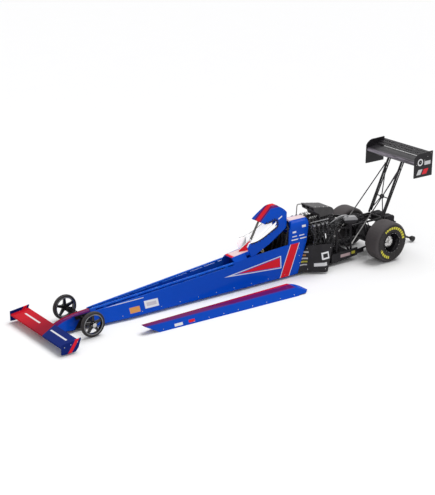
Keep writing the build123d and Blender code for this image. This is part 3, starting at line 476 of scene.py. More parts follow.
def gloss_paint(name, layout, paint, centre=(0.0, 0.0, 0.0), glowing_lining=None):
    """Clear-coated paint: a fine flake in the colour, a rub of dust in the gloss and a faint orange peel.
    A lining, where there is one, is white and glows a little, which is painted light."""
    finish = Finish(name, {"Specular IOR Level": 0.0, "Coat Weight": 0.14, "Coat Roughness": 0.04}, centre)
    base = layout(finish, paint)
    if glowing_lining:
        lined_and_glowing = glowing_lining(finish)
        base = finish.mix(lined_and_glowing, base, (0.9, 0.9, 0.9))
        # Painted light: the white lining glows a little though it is no lamp
        finish.shader.inputs["Emission Strength"].default_value = 0.5
        finish.feed("Emission Color", finish.mix(lined_and_glowing, (0.0, 0.0, 0.0), (1.0, 1.0, 1.0)))
    flake = finish.noise(grain=0.16, detail=1.0)
    cloud = finish.noise(grain=14.0, detail=3.0)
    shade = finish.node(
        "ShaderNodeHueSaturation", {}, {"Color": base, "Value": 0.86 + flake * 0.16 + cloud * 0.12})
    finish.feed("Base Color", shade)
    finish.feed("Roughness", 0.26 + cloud * 0.10)
    finish.bump(finish.noise(grain=0.9), distance=0.012)
    return finish.material


def moulding(name, base, rough, grain=0.5, lift=0.6, painted_glints=0.0, shine=0.2, layout=None):
    """Moulded or painted surface: two tones in soft clouds or a layout of its own, a fine grain in gloss and
    relief, and bright specks painted as glints where they are asked for."""
    finish = Finish(name, {"Specular IOR Level": shine})
    fine = finish.noise(grain)
    if layout:
        tone = layout(finish, base)
    else:
        light = tuple(min(1.0, c) for c in toned(base, 1 + lift))
        tone = finish.mix(finish.noise(grain=7.0, detail=4.0).over(0.5, 0.5), base, light)
    if painted_glints:
        # Painted glints: bright specks that stand for highlights on small detail
        glints = finish.noise(grain=0.8, detail=1.0).over(0.66, 0.06)
        tone = finish.mix(glints * painted_glints, tone, (0.5, 0.5, 0.52))
    finish.feed("Base Color", tone)
    finish.feed("Roughness", rough - 0.08 + fine * 0.16)
    finish.bump(fine, distance=0.02, strength=0.6)
    return finish.material


def bright_metal(name, base, rough=0.28):
    """Bare metal with fine draw lines along the car and a little tarnish."""
    finish = Finish(name, {"Metallic": 1.0})
    line = finish.noise(grain=0.22, stretch=(9.0, 1.0, 1.0))
    cloud = finish.noise(grain=3.0, detail=3.0)
    finish.feed("Base Color", finish.mix(cloud.over(0.56, 0.3), base, toned(base, 0.62)))
    finish.feed("Roughness", rough - 0.06 + line * 0.2)
    finish.bump(line, distance=0.015)
    return finish.material


# Paint layouts, each a colour worked out from places on the car


def tub_colour(finish, paint):
    """Blue sides with a white-edged red spear that widens to the rear, one broad leaning band behind it,
    thin lines near the front and two blank labels. Inside, the front bay's blue is lighter, painted light
    that offsets the bay's shade, and the cockpit is black."""
    x, z = finish.x, finish.z
    outside = finish.outside()
    bay_rear, cockpit_front = 164.0, 150.0
    # Painted light: inside the front bay the blue is lighter to offset the bay's shade
    layers = [((1 - outside) * x.over(bay_rear, 4.0), paint.light_blue),
              (finish.inside() * (1 - x.over(cockpit_front, 4.0)), paint.black)]
    lean = x + (z - 16.0) * 0.46
    for rear, front, tone in ((98.6, 109.6, paint.white), (99.3, 108.9, paint.red)):
        layers.append((lean.within(rear, front, 0.3) * outside, tone))
    tip = 176.0
    spear = (tip - x) * 0.092 - abs(z - (15.4 + (tip - x) * 0.028))
    borders = (
        (0.0, 113.5, tip, paint.white), (0.75, 114.4, 170.0, paint.blue), (1.35, 115.0, 164.0, paint.red))
    for edge, rear, front, tone in borders:
        layers.append((spear.over(edge, 0.3) * x.within(rear, front, 0.3) * outside, tone))
    lines_front = 300.0
    upper, lower = (abs(z - (height + (lines_front - x) * slope)).over(0.28, 0.2)
                    for height, slope in ((18.6, 0.048), (13.6, 0.030)))
    lines = (1 - upper * lower) * x.within(258.0, 299.0, 0.4)
    for box in ((286.0, 296.0, 14.0, 14.9), (272.0, 283.0, 15.2, 16.2), (262.0, 268.0, 17.4, 18.2)):
        lines = lines | finish.patch(*box)
    return finish.layered(paint.blue, layers + [
        (lines * outside * 0.8, paint.white),
        (finish.patch(245.0, 258.6, 6.0, 12.0) * outside, paint.white),
        (finish.patch(247.0, 256.6, 7.6, 10.4) * outside * 0.3, paint.purple),
        (finish.patch(263.6, 273.6, 5.0, 9.4) * outside, paint.orange),
    ])


def nose_sides(finish, paint):
    """Blue that deepens towards the axle."""
    return finish.mix(finish.x.over(327.0, 14.0), paint.deep_blue, paint.blue)


def nose_colour(finish, paint):
    """A purple band along the ridge with a maroon middle, over blue sides."""
    aside = abs(finish.y)
    tone = finish.mix(aside.over(0.9, 0.8), paint.maroon, paint.purple)
    return finish.mix(1 - aside.over(2.9, 0.5), nose_sides(finish, paint), tone)


def axle_colour(finish, paint):
    """Black, with the nose's blue over the upper front of the block that fills the nose's slot."""
    block = 1 - (abs(finish.y) - (12.2 - finish.z) * 0.48).over(3.3, 0.2)
    front = (finish.x + finish.z).over(328.0, 0.6)
    return finish.mix(block * front, paint.black, nose_sides(finish, paint))


def cowl_colour(finish, paint):
    """A pale pinkish top, which is a painted reflection, with a red front edge."""
    # Painted reflection: the top is pale pinkish white where the red would catch the light
    top = finish.z.over(29.4, 0.5) * (1 - abs(finish.y).over(5.0, 0.6))
    tone = finish.mix(finish.x.over(161.5, 1.5), blended(paint.white, paint.red, 0.25), paint.red)
    return finish.mix(top, paint.blue, tone)


def deflector_colour(finish, paint):
    """Red on the front of the outer faces and white elsewhere."""
    return finish.mix(finish.outside() * finish.x.over(143.4, 0.6), paint.white, paint.red)


def shroud_colour(finish, paint):
    """Red along the middle of the cap, purple beside it and a short leaning white painted highlight on each side.
    """
    aside = abs(finish.y)
    brow = finish.z.over(54.5, 0.8)
    tone = finish.mix(aside.over(2.4, 0.8), paint.red, paint.purple)
    # Painted highlight: a short leaning white glint on each side of the cap
    rise = abs(finish.z - 58.0 + (finish.x - 112.5) * 0.42)
    painted_glint = (1 - rise.over(0.55, 0.3)) * finish.x.within(110.3, 114.7, 0.6) * aside.over(6.4, 0.5)
    base = finish.mix(painted_glint, paint.blue, paint.white)
    return finish.mix(brow * (1 - aside.over(4.6, 0.8)), base, tone)


def shroud_lining(finish):
    """The inner faces and upper edges of the shroud's arms, and the front end of the right one, which are white
    and glow a little as painted light.
    """
    left = finish.y.over(0.0, 0.2)
    lean = finish.facing("Y").over(-0.5, 0.2)
    lined_and_glowing = abs(lean - left) | finish.facing("Z").over(0.5, 0.2)
    return lined_and_glowing * (1 - finish.z.over(54.0, 0.6)) * finish.x.over(109.0, 1.0)


def shoulder_colour(finish, paint):
    """Short white dashes in rows on the sides, and a pale pinkish top that is a painted reflection."""
    first, *others = (
        (93.5, 101.0, 34.2, 35.2), (83.6, 91.0, 34.2, 35.2), (86.0, 92.0, 37.2, 38.1),
        (84.0, 88.4, 44.6, 46.6), (95.4, 99.6, 41.0, 42.6), (94.6, 100.0, 37.4, 38.2))
    dashes = finish.patch(*first)
    for box in others:
        dashes = dashes | finish.patch(*box)
    aside = abs(finish.y)
    base = finish.mix(dashes * aside.over(7.0, 0.5), paint.blue, paint.white)
    # Painted reflection: the top is pale pinkish white where the red would catch the light
    top = finish.z.over(50.3, 0.7) * (1 - aside.over(4.2, 0.8))
    return finish.mix(top, base, blended(paint.white, paint.red, 0.2))


def cover_colour(finish, paint):
    """A band over the top that narrows with the cover, and a small blank label on each side."""
    half = 2.5 + (282.0 - finish.x) * 0.0175
    band = finish.z.over(6.2, 0.9) * (1 - (abs(finish.y) / half).over(1.05, 0.2))
    tone = finish.mix(finish.x.over(170.0, 90.0), paint.red, paint.maroon)
    tone = finish.mix((finish.y / half).over(-0.55, 0.6), tone, paint.purple)
    return finish.layered(paint.blue, (
        (band, tone),
        (finish.patch(246.0, 254.0, 1.2, 3.4), paint.white),
        (finish.patch(234.0, 240.0, 1.4, 3.6), paint.red),
    ))


def wing_colour(finish, paint):
    """Maroon that brightens to red over the far part and deep blue over the near part, split by a leaning
    edge, with a white bar on each."""
    lean = finish.y - (finish.x - 349.0) * 0.55
    far = finish.mix(finish.y.over(-14.0, 30.0), toned(paint.red, 0.75), paint.maroon)
    base = finish.mix(lean.over(7.0, 0.4), far, paint.deep_blue)
    bars = finish.x.within(347.6, 349.2, 0.25) * abs(finish.y).within(9.0, 34.0, 0.5)
    return finish.mix(bars * 0.85, base, paint.white)


def plate_colour(finish, paint):
    """Deep blue with one red leaning bar."""
    lean = finish.x + (finish.z - 6.0) * 0.7
    return finish.mix(lean.within(346.0, 349.4, 0.3), paint.deep_blue, paint.red)


def plain_colour(finish, paint):
    """Two blues in soft clouds."""
    return finish.mix(finish.noise(grain=9.0).over(0.5, 0.6), paint.blue, paint.light_blue)


def paints(paint):
    """Paint for each blue, red and white skin, by node."""
    layouts = {
        "tub": tub_colour, "nose": nose_colour, "cowl": cowl_colour, "shoulder_panel": shoulder_colour,
        "front_wing": wing_colour, "front_axle": axle_colour,
    }
    made = {node: gloss_paint(f"{node}_paint", layout, paint) for node, layout in layouts.items()}
    made["cockpit_shroud"] = gloss_paint("cockpit_shroud_paint", shroud_colour, paint, glowing_lining=shroud_lining)
    made["wind_deflector"] = gloss_paint("deflector_paint", deflector_colour, paint)
    cover_y = on_car(sum(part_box("top_cover"), Vector()) / 2)[1]
    made["top_cover"] = gloss_paint("top_cover_paint", cover_colour, paint, (0.0, cover_y, 0.0))
    plain = made["wing_mount"] = gloss_paint("plain_blue_paint", plain_colour, paint)
    plate = gloss_paint("front_end_plate_paint", plate_colour, paint)
    for side, way in SIDES:
        made[f"front_end_plate_{side}"] = plate
        made[f"frame_rail_{side}"] = plain
    return made


def labelled_black(name, paint, labels=None):
    """Semi-gloss black with blank labels, or on the rear wing a painted highlight, each a mask and its colour."""
    finish = Finish(name, {"Specular IOR Level": 0.16, "Coat Weight": 0.1, "Coat Roughness": 0.12})
    cloud = finish.noise(grain=6.0, detail=3.0)
    base = finish.mix(cloud.over(0.5, 0.5), paint.black, toned(paint.black, 1.8))
    if labels:
        base = finish.layered(base, labels(finish, paint))
    finish.feed("Base Color", base)
    finish.feed("Roughness", 0.30 + finish.noise(grain=0.4) * 0.12)
    finish.bump(finish.noise(grain=0.7), distance=0.012)
    return finish.material


def panel_labels(finish, paint):
    """Rows of small blank labels near the front of the panel and two larger ones on the flare."""
    rows = (
        ((84.0, 93.0, 20.6, 22.0), paint.white), ((86.0, 91.0, 17.6, 19.0), paint.orange),
        ((84.6, 93.4, 14.6, 16.0), paint.white), ((85.0, 92.0, 11.6, 13.0), paint.yellow),
        ((85.4, 94.6, 8.8, 10.0), paint.white))
    for box, tone in rows:
        yield finish.patch(*box) * 0.55, tone
    yield finish.patch(64.0, 72.6, 13.0, 19.4), paint.white
    yield finish.patch(65.4, 71.2, 14.4, 18.0), paint.black
    yield finish.patch(68.0, 80.0, 7.4, 10.4) * 0.8, paint.white


def strip_labels(finish, paint):
    """One long pale label on the low strip, with a yellow end."""
    outside = abs(finish.y).over(13.2, 0.1)
    yield finish.patch(31.0, 43.0, 6.6, 9.6) * outside * 0.6, blended(paint.white, paint.red, 0.3)
    yield finish.patch(25.0, 29.4, 7.4, 10.2) * outside * 0.6, paint.yellow


def plate_labels(finish, paint):
    """A white ring, a pale bar and two leaning bars on the outside of the rear wing's end plates."""
    outside = abs(finish.y).over(33.2, 0.1)
    disc_centre = (-34.6, 0.0, 90.6)
    from_disc = finish.node(
        "ShaderNodeVectorMath", {"operation": "DISTANCE"}, {0: finish.from_side(), 1: disc_centre}, "Value")
    yield (1 - from_disc.over(3.4, 0.3)) * outside, paint.white
    yield (1 - from_disc.over(2.2, 0.3)) * outside, paint.black
    yield finish.patch(-48.0, -40.0, 87.4, 91.0) * outside * 0.75, paint.white
    lean = finish.x + (finish.z - 81.0) * 0.5
    level = finish.z.within(78.6, 83.6, 0.3)
    yield lean.within(-44.4, -38.4, 0.3) * level * outside, paint.red
    yield lean.within(-36.6, -31.4, 0.3) * level * outside * 0.8, paint.white


def wing_glare(finish, paint):
    """A painted highlight: a pale streaky band along the rear wing's leading edge."""
    streak = finish.noise(grain=1.2, detail=3.0, stretch=(1.0, 14.0, 1.0)).over(0.46, 0.3)
    yield finish.z.within(88.6, 91.6, 1.2) * finish.x.over(-33.0, 1.6) * streak, (0.30, 0.27, 0.32)


def tyre_rubber(name, paint, wheel, tread_radius, tread=1.0, dashes=None):
    """Rubber, paler and scuffed round the tread, dark on the walls, with dashes along two arcs outside."""
    finish = Finish(name, {"Specular IOR Level": 0.35}, wheel)
    radius = finish.node("ShaderNodeVectorMath", {"operation": "LENGTH"}, {0: finish.from_side()}, "Value")
    scuff = finish.noise(grain=1.1, detail=4.0, stretch=(1.0, 4.0, 1.0))
    base = finish.layered(toned(paint.rubber, 0.26), (
        (radius.over(tread_radius, 1.2), toned(paint.rubber, tread)),
        (scuff.over(0.62, 0.3) * 0.35, toned(paint.rubber, tread * 1.7)),
    ))
    if dashes:
        inner, outer, count = dashes
        turn = finish.x.math("ARCTAN2", finish.z, finish.x)
        beat = turn.math("FRACT", turn * (count / (2 * math.pi)) + count)
        arc = turn.within(0.9, 3.05, 0.03) | turn.within(-1.35, -0.35, 0.03)
        marks = radius.within(inner, outer, 0.2) * beat.within(0.12, 0.84, 0.08) * arc
        base = finish.mix(marks * abs(finish.y).over(31.0, 1.0), base, paint.yellow)
    finish.feed("Base Color", base)
    finish.feed("Roughness", 0.62 + scuff * 0.24)
    finish.bump(scuff, distance=0.05)
    return finish.material


def shaded_metal(name, paint, low, high):
    """Bare metal that darkens upwards between two heights."""
    finish = Finish(name, {"Metallic": 0.85})
    line = finish.noise(grain=0.3)
    height = finish.z.over((low + high) / 2, high - low)
    finish.feed("Base Color", finish.mix(height, paint.metal, toned(paint.black, 3)))
    finish.feed("Roughness", 0.26 + line * 0.16)
    finish.bump(line, distance=0.01)
    return finish.material


def tank_colour(finish, low):
    """A grey can with a black lower half."""
    return finish.mix(finish.z.over(41.4, 0.8), low, (0.34, 0.34, 0.35))


def finishes(paint):
    """Every other finish, by the record's slot."""
    black = tuple(paint.black)
    return {
        "chassis_black": moulding("frame_enamel", black, 0.34),
        # The engine's bright specks are painted glints
        "engine_black": moulding(
            "engine_moulding", toned(black, 0.7), 0.36, grain=0.35, lift=1.2, painted_glints=0.5),
        "panel_black": labelled_black("panel_black", paint),
        "hat_grey": moulding("hat_moulding", tuple(paint.grey), 0.5),
        "wheel_black": moulding("wheel_gloss", black, 0.18, grain=0.8, shine=0.3),
        "bright_metal": bright_metal("bare_metal", tuple(paint.metal)),
        "yoke_gold": moulding("yoke_moulding", (0.42, 0.36, 0.20), 0.45, grain=0.4, lift=0.3),
        "interior_black": moulding("cockpit_moulding", toned(black, 0.8), 0.6),
        "belt": moulding("belt_rubber", black, 0.7),
        "line_grey": moulding("line_sleeve", (0.10, 0.095, 0.09), 0.5),
        "tank_grey": moulding("tank_moulding", toned(black, 2), 0.42, grain=0.4, layout=tank_colour),
        "pack_black": moulding("pack_cloth", toned(black, 1.5), 0.8, grain=0.28),
    }


class DRAGCAR_OT_finishes(bpy.types.Operator):
    """Give every solid of the car its paint, rubber, moulding or metal"""

    bl_idname = "dragcar.finishes"
    bl_label = "Finishes"

    def execute(self, context):
        paint = context.scene.dragcar_paint
        by_slot = finishes(paint)
        by_node = paints(paint)
        by_node["belly_pan"] = labelled_black("belly_pan_black", paint, strip_labels)
        # The rear wing's black carries a painted highlight along its leading edge
        by_node["rear_wing"] = labelled_black("rear_wing_black", paint, wing_glare)
        by_node["roll_hoop"] = by_slot["chassis_black"]
        rear = wheel_centre("rear_wheels_spin")
        pairs = {
            "side_panel": labelled_black("side_panel_black", paint, panel_labels),
            "rear_end_plate": labelled_black("end_plate_black", paint, plate_labels),
            "wing_stay": shaded_metal("stay_metal", paint, 18.0, 44.0),
            "rear_tyre": tyre_rubber("slick_rubber", paint, rear, 17.4, dashes=(13.0, 15.5, 31.0)),
        }
        for side, way in SIDES:
            by_node.update({f"{node}_{side}": material for node, material in pairs.items()})
            front = wheel_centre(f"front_wheel_{side}_spin")
            by_node[f"front_tyre_{side}"] = tyre_rubber(
                f"front_tyre_rubber_{side}", paint, front, 10.2, tread=0.5)
        slots = {row["node"]: row["material_slot"] for row in frame["record"]["subparts"]}
        for node, made in frame["nodes"].items():
            material = by_node.get(node) or by_slot.get(slots[node])
            if material is None:
                raise RuntimeError(f"{node} has no finish")
            made.data.materials.clear()
            made.data.materials.append(material)
        return {"FINISHED"}


# Tyres and wheels


def slick_section(half, bead, crown):
    """Closed section of the slick: walls that lean out from the bead with two low ribs, quarter-ellipse
    shoulders and a flat tread."""
    lean, rib, shoulder_wide, shoulder_high = 0.9, 0.22, 3.2, 3.4
    wall_top = crown - shoulder_high
    radius = np.linspace(bead, wall_top, 30)
    share = (radius - bead) / (wall_top - bead)
    ribs = sum(rib * np.exp(-((radius - at) / rib) ** 2) for at in (bead + 1.4, bead + 2.9))
    wall = half - lean + lean * share + ribs * (1 - share)
    turn = np.linspace(0, np.pi / 2, 10)[1:]
    across = half - shoulder_wide + shoulder_wide * np.cos(turn)
    shoulder = np.stack([across, wall_top + shoulder_high * np.sin(turn)], -1)
    outer = np.vstack([np.stack([wall, radius], -1), shoulder])
    inner = outer[::-1] * (-1, 1)
    return np.vstack([outer, inner])


def thin_section(half, bead, crown):
    """Closed section of the front tyre: an arch over the bead with three fine grooves."""
    step, foot, groove_size = 0.9, 0.3, 0.10
    turn = np.linspace(0, np.pi, 41)
    radius = bead + step + (crown - bead - step) * np.sin(turn)
    across = half * np.cos(turn)
    groove = sum(np.exp(-((across - at) / groove_size) ** 2) for at in (-0.8, 0.0, 0.8))
    arch = np.stack([across, radius - groove_size * groove], -1)
    return np.vstack([[(half - foot, bead)], arch, [(foot - half, bead)]])


class DRAGCAR_OT_tyres(bpy.types.Operator):
    """Make the slicks with their wall ribs and the thin front tyres with their grooves"""

    bl_idname = "dragcar.tyres"
    bl_label = "Tyres"

    def execute(self, context):
        clearance = 0.02
        for side, way in SIDES:
            for end, section in (("rear", slick_section), ("front", thin_section)):
                node = f"{end}_tyre_{side}"
                low, high = corners_of(node)
                rim_low, rim_high = corners_of(f"{end}_rim_{side}")
                bead = (rim_high[2] - rim_low[2]) / 2 + clearance
                profile = section((high[1] - low[1]) / 2, bead, (high[2] - low[2]) / 2)
                shape = turned(profile, (low + high) / 2, sides=112, closed=True)
                body = "rear_wheels" if end == "rear" else f"front_wheel_{side}"
                piece(f"{node}_rubber", shape, "tyre", body, material_of(node), stands_for=[node])
        return {"FINISHED"}


class DRAGCAR_OT_wheels(bpy.types.Operator):
    """Add hubs, nuts, rim edges and axle caps to the wheels"""

    bl_idname = "dragcar.wheels"
    bl_label = "Wheels"

    def execute(self, context):
        lip_metal = bright_metal("rim_lip", (0.20, 0.20, 0.21), 0.22)
        for side, way in SIDES:
            self.rear_wheel(side, way)
            self.front_wheel(side, way, lip_metal)
        return {"FINISHED"}

    def rear_wheel(self, side, way):
        """A stepped hub with nuts, deep in the rim, and a bolted ring on the rim's edge."""
        body = "rear_wheels"
        centre = wheel_centre("rear_wheels_spin")
        low, high = corners_of(f"rear_tyre_{side}")
        centre[1] = high[1] if way > 0 else low[1]
        hub_in, nut_ring, edge_in, edge_ring = 5.6, 4.2, 0.6, 9.4
        hub = centre - (0, way * hub_in, 0)
        steps = np.array([
            (-2.4, 5.5), (0.4, 5.7), (0.5, 5.8), (0.9, 5.4), (1.3, 3.3), (1.1, 2.8), (1.1, 1.8), (2.2, 1.6),
            (2.5, 0.8)])
        piece(f"rear_hub_{side}", turned(steps * (way, 1), hub, sides=48), "bright_metal", body)
        nuts = around(hub + (0, way * 1.1, 0), nut_ring, 5)
        piece(f"rear_nuts_{side}", heads(nuts, (0, way, 0), radius=0.5, height=0.7), "wheel_black", body)
        edge = centre - (0, way * edge_in, 0)
        lip = np.array([(0.0, 9.75), (0.28, 9.7), (0.34, 9.4), (0.28, 9.1), (0.0, 9.05)]) * (way, 1)
        piece(f"rear_bead_ring_{side}", turned(lip, edge, sides=96, closed=True), "wheel_black", body)
        bolts = around(edge + (0, way * 0.32, 0), edge_ring, 16)
        shape = heads(bolts, (0, way, 0), radius=0.26, height=0.22)
        piece(f"rear_bead_bolts_{side}", shape, "bright_metal", body)

    def front_wheel(self, side, way, lip_metal):
        """A round bright edge on each side of the rim, nuts on the hub and a cap on the axle's end."""
        body = f"front_wheel_{side}"
        centre = wheel_centre(f"front_wheel_{side}_spin")
        turn = turns(10)
        edges = []
        for out in (1.45, -1.45):
            edge = np.stack([out + 0.28 * np.cos(turn), 8.55 + 0.5 * np.sin(turn)], -1)
            edges.append(turned(edge, centre, sides=96, closed=True))
        piece(f"front_rim_edges_{side}", joined(edges), "wheel_black", body, lip_metal)
        nuts = around(centre + (0, way * 1.8, 0), 2.25, 5)
        piece(f"front_nuts_{side}", heads(nuts, (0, way, 0), radius=0.3, height=0.35), "bright_metal", body)
        cap = np.array([(2.7, 1.8), (3.1, 1.8), (3.4, 1.4), (3.5, 0.6)]) * (way, 1)
        piece(f"front_axle_cap_{side}", turned(cap, centre, sides=32), "bright_metal")


# Engine, with the places of its ports, plugs and covers

PORT_X = (59.0, 64.0, 69.0, 74.0)
PORT_Y = 10.96
PLUG_X = (59.6, 64.2, 68.8, 73.4)
COVER_BOLT_X = (57.3, 61.9, 66.5, 71.1, 75.7)
COVER_TOP = (12.02, 25.02)
SLOPE = math.sqrt(0.5)
BLOWER_SIDE = 7.6
BLOWER_TOP = 49.6
FUEL_RAIL_Z = 46.0


class DRAGCAR_OT_engine(bpy.types.Operator):
    """Add bolts, leads, lines, nozzles and pipe ends to the engine"""

    bl_idname = "dragcar.engine"
    bl_label = "Engine"

    def execute(self, context):
        trim = context.scene.dragcar_trim
        bolt = trim.bolt_radius / MM
        sleeve = moulding("lead_sleeve", (0.03, 0.03, 0.032), 0.5)
        braid = bright_metal("hose_braid", (0.30, 0.30, 0.31), 0.42)
        for side, way in SIDES:
            self.pipe_ends(side, way, braid)
            self.cover_bolts(side, way, bolt)
            self.leads(side, way, trim.lead_radius / MM, sleeve)
            self.fuel_lines(side, way, braid)
            self.nozzles(side, way)
        self.gear_case(bolt)
        hat = [(x, y, 66.0) for x in (56.0, 61.0, 66.0, 71.0) for y in (-7.4, 7.4)]
        spots, normals = on_skin("injector_hat", hat, (0, 0, -1))
        piece("hat_bolts", heads(spots, normals, bolt, height=0.4), "bright_metal")
        hose = through([
            (33.0, 11.0, 43.6), (36.0, 11.0, 46.4), (44.0, 10.0, 46.0), (51.0, 7.0, 41.0), (54.2, 5.6, 38.0),
        ], count=36)
        piece("tank_hose", tube(hose, trim.hose_radius / MM, sides=12), "bright_metal", material=braid)
        return {"FINISHED"}

    def pipe_ends(self, side, way, braid):
        """A rolled lip round the mouth of each header pipe."""
        lip = [(-1.4, 1.4), (0.0, 1.46), (0.1, 1.4), (0.1, 1.05), (-1.6, 1.02)]
        run = (4.0, way * 0.8, 18.6)
        mouths = [(x + 5.0, way * (PORT_Y + 4.6), 46.6) for x in PORT_X]
        lips = [turned(lip, mouth, sides=24, axis=run, closed=True) for mouth in mouths]
        piece(f"pipe_ends_{side}", joined(lips), "bright_metal", material=braid)

    def cover_bolts(self, side, way, bolt):
        """Two rows along the valve cover, whose face leans out by half a right angle."""
        across, up = COVER_TOP
        step, sunk = 1.55 * SLOPE, 0.5
        rows = [(x, way * (across - s * step), up + s * step - sunk) for x in COVER_BOLT_X for s in (1, -1)]
        shape = heads(rows, (0, way * SLOPE, SLOPE), bolt * 0.7, height=0.4)
        piece(f"valve_cover_bolts_{side}", shape, "bright_metal")

    def leads(self, side, way, radius, sleeve):
        """A boot on each plug, and a lead from it up beside the supercharger and back to the distributor."""
        across, up = COVER_TOP
        boot = [(-0.4, 0.5), (0.6, 0.55), (1.6, 0.42), (1.9, 0.3)]
        out = np.array((0.0, way * SLOPE, SLOPE))
        leads, boots = [], []
        for number, x in enumerate(PLUG_X):
            plug = np.array((x, way * across, up + 0.4))
            boots.append(turned(boot, plug, sides=12, axis=out))
            level = 32.6 + 0.7 * number
            upper = mirrored([
                (x - 3.0, 9.4, level - 1.5), (x - 6.0, BLOWER_SIDE + 0.6, level),
                (53.4, BLOWER_SIDE - 0.2, level), (51.4, 2.2 + 0.3 * number, 33.6)], way)
            path = [plug + 1.6 * out, plug + 3.2 * out + (0.8, 0, 0.6), *upper]
            leads.append(tube(through(path, count=40), radius, sides=8))
        piece(f"ignition_leads_{side}", joined(leads), "line_grey", material=sleeve)
        piece(f"plug_boots_{side}", joined(boots), "line_grey", material=sleeve)

    def fuel_lines(self, side, way, braid):
        """A rail along the supercharger, and a thin line from it down to each port."""
        rail_y = BLOWER_SIDE + 0.7
        rail = mirrored([(55.5, rail_y, FUEL_RAIL_Z), (78.0, rail_y, FUEL_RAIL_Z)], way)
        lines = [tube(np.linspace(*rail, 6), radius=0.6, sides=12)]
        for x in PORT_X:
            drop = mirrored([
                (x + 1.6, rail_y, FUEL_RAIL_Z), (x + 1.6, BLOWER_SIDE + 1.1, 41.0), (x + 1.2, rail_y, 34.0),
                (x + 1.0, 5.4, 29.0), (x + 1.0, 4.1, 27.0)], way)
            lines.append(tube(through(drop, count=24), radius=0.32, sides=8))
        piece(f"fuel_lines_{side}", joined(lines), "bright_metal", material=braid)

    def nozzles(self, side, way):
        """Stepped nozzles that lean out from the edge of the supercharger's top."""
        nozzle = [(-0.9, 0.62), (0.9, 0.62), (1.0, 0.45), (2.6, 0.42), (2.8, 0.55), (3.4, 0.5)]
        rise = (0.25, way * 0.75, 0.66)
        feet = [(x, way * 5.0, BLOWER_TOP - 0.5) for x in (68.4, 70.8, 73.2, 75.6)]
        row = [turned(nozzle, foot, sides=14, axis=rise) for foot in feet]
        piece(f"nozzles_{side}", joined(row), "bright_metal")

    def gear_case(self, bolt):
        """An oval of bolts on the gear case, and the distributor below it."""
        turn = turns(8)
        oval = np.stack([46.95 + 0 * turn, 4.3 * np.cos(turn), 42.0 + 5.4 * np.sin(turn)], -1)
        piece("gear_case_bolts", heads(oval, (-1, 0, 0), bolt, height=0.5), "bright_metal")
        distributor = [(0.0, 2.6), (2.6, 2.6), (3.0, 2.9), (4.4, 2.8), (5.2, 2.0), (5.6, 1.0)]
        shape = turned(distributor, (51.2, 0, 29.4), sides=32, axis=UP)
        piece("distributor", shape, "engine_black")


BOTTLE_Y = (-3.0, 3.0)
BOTTLE_Z = 37.9
BOTTLE_SIDES = 28
BOX_X = 13.0


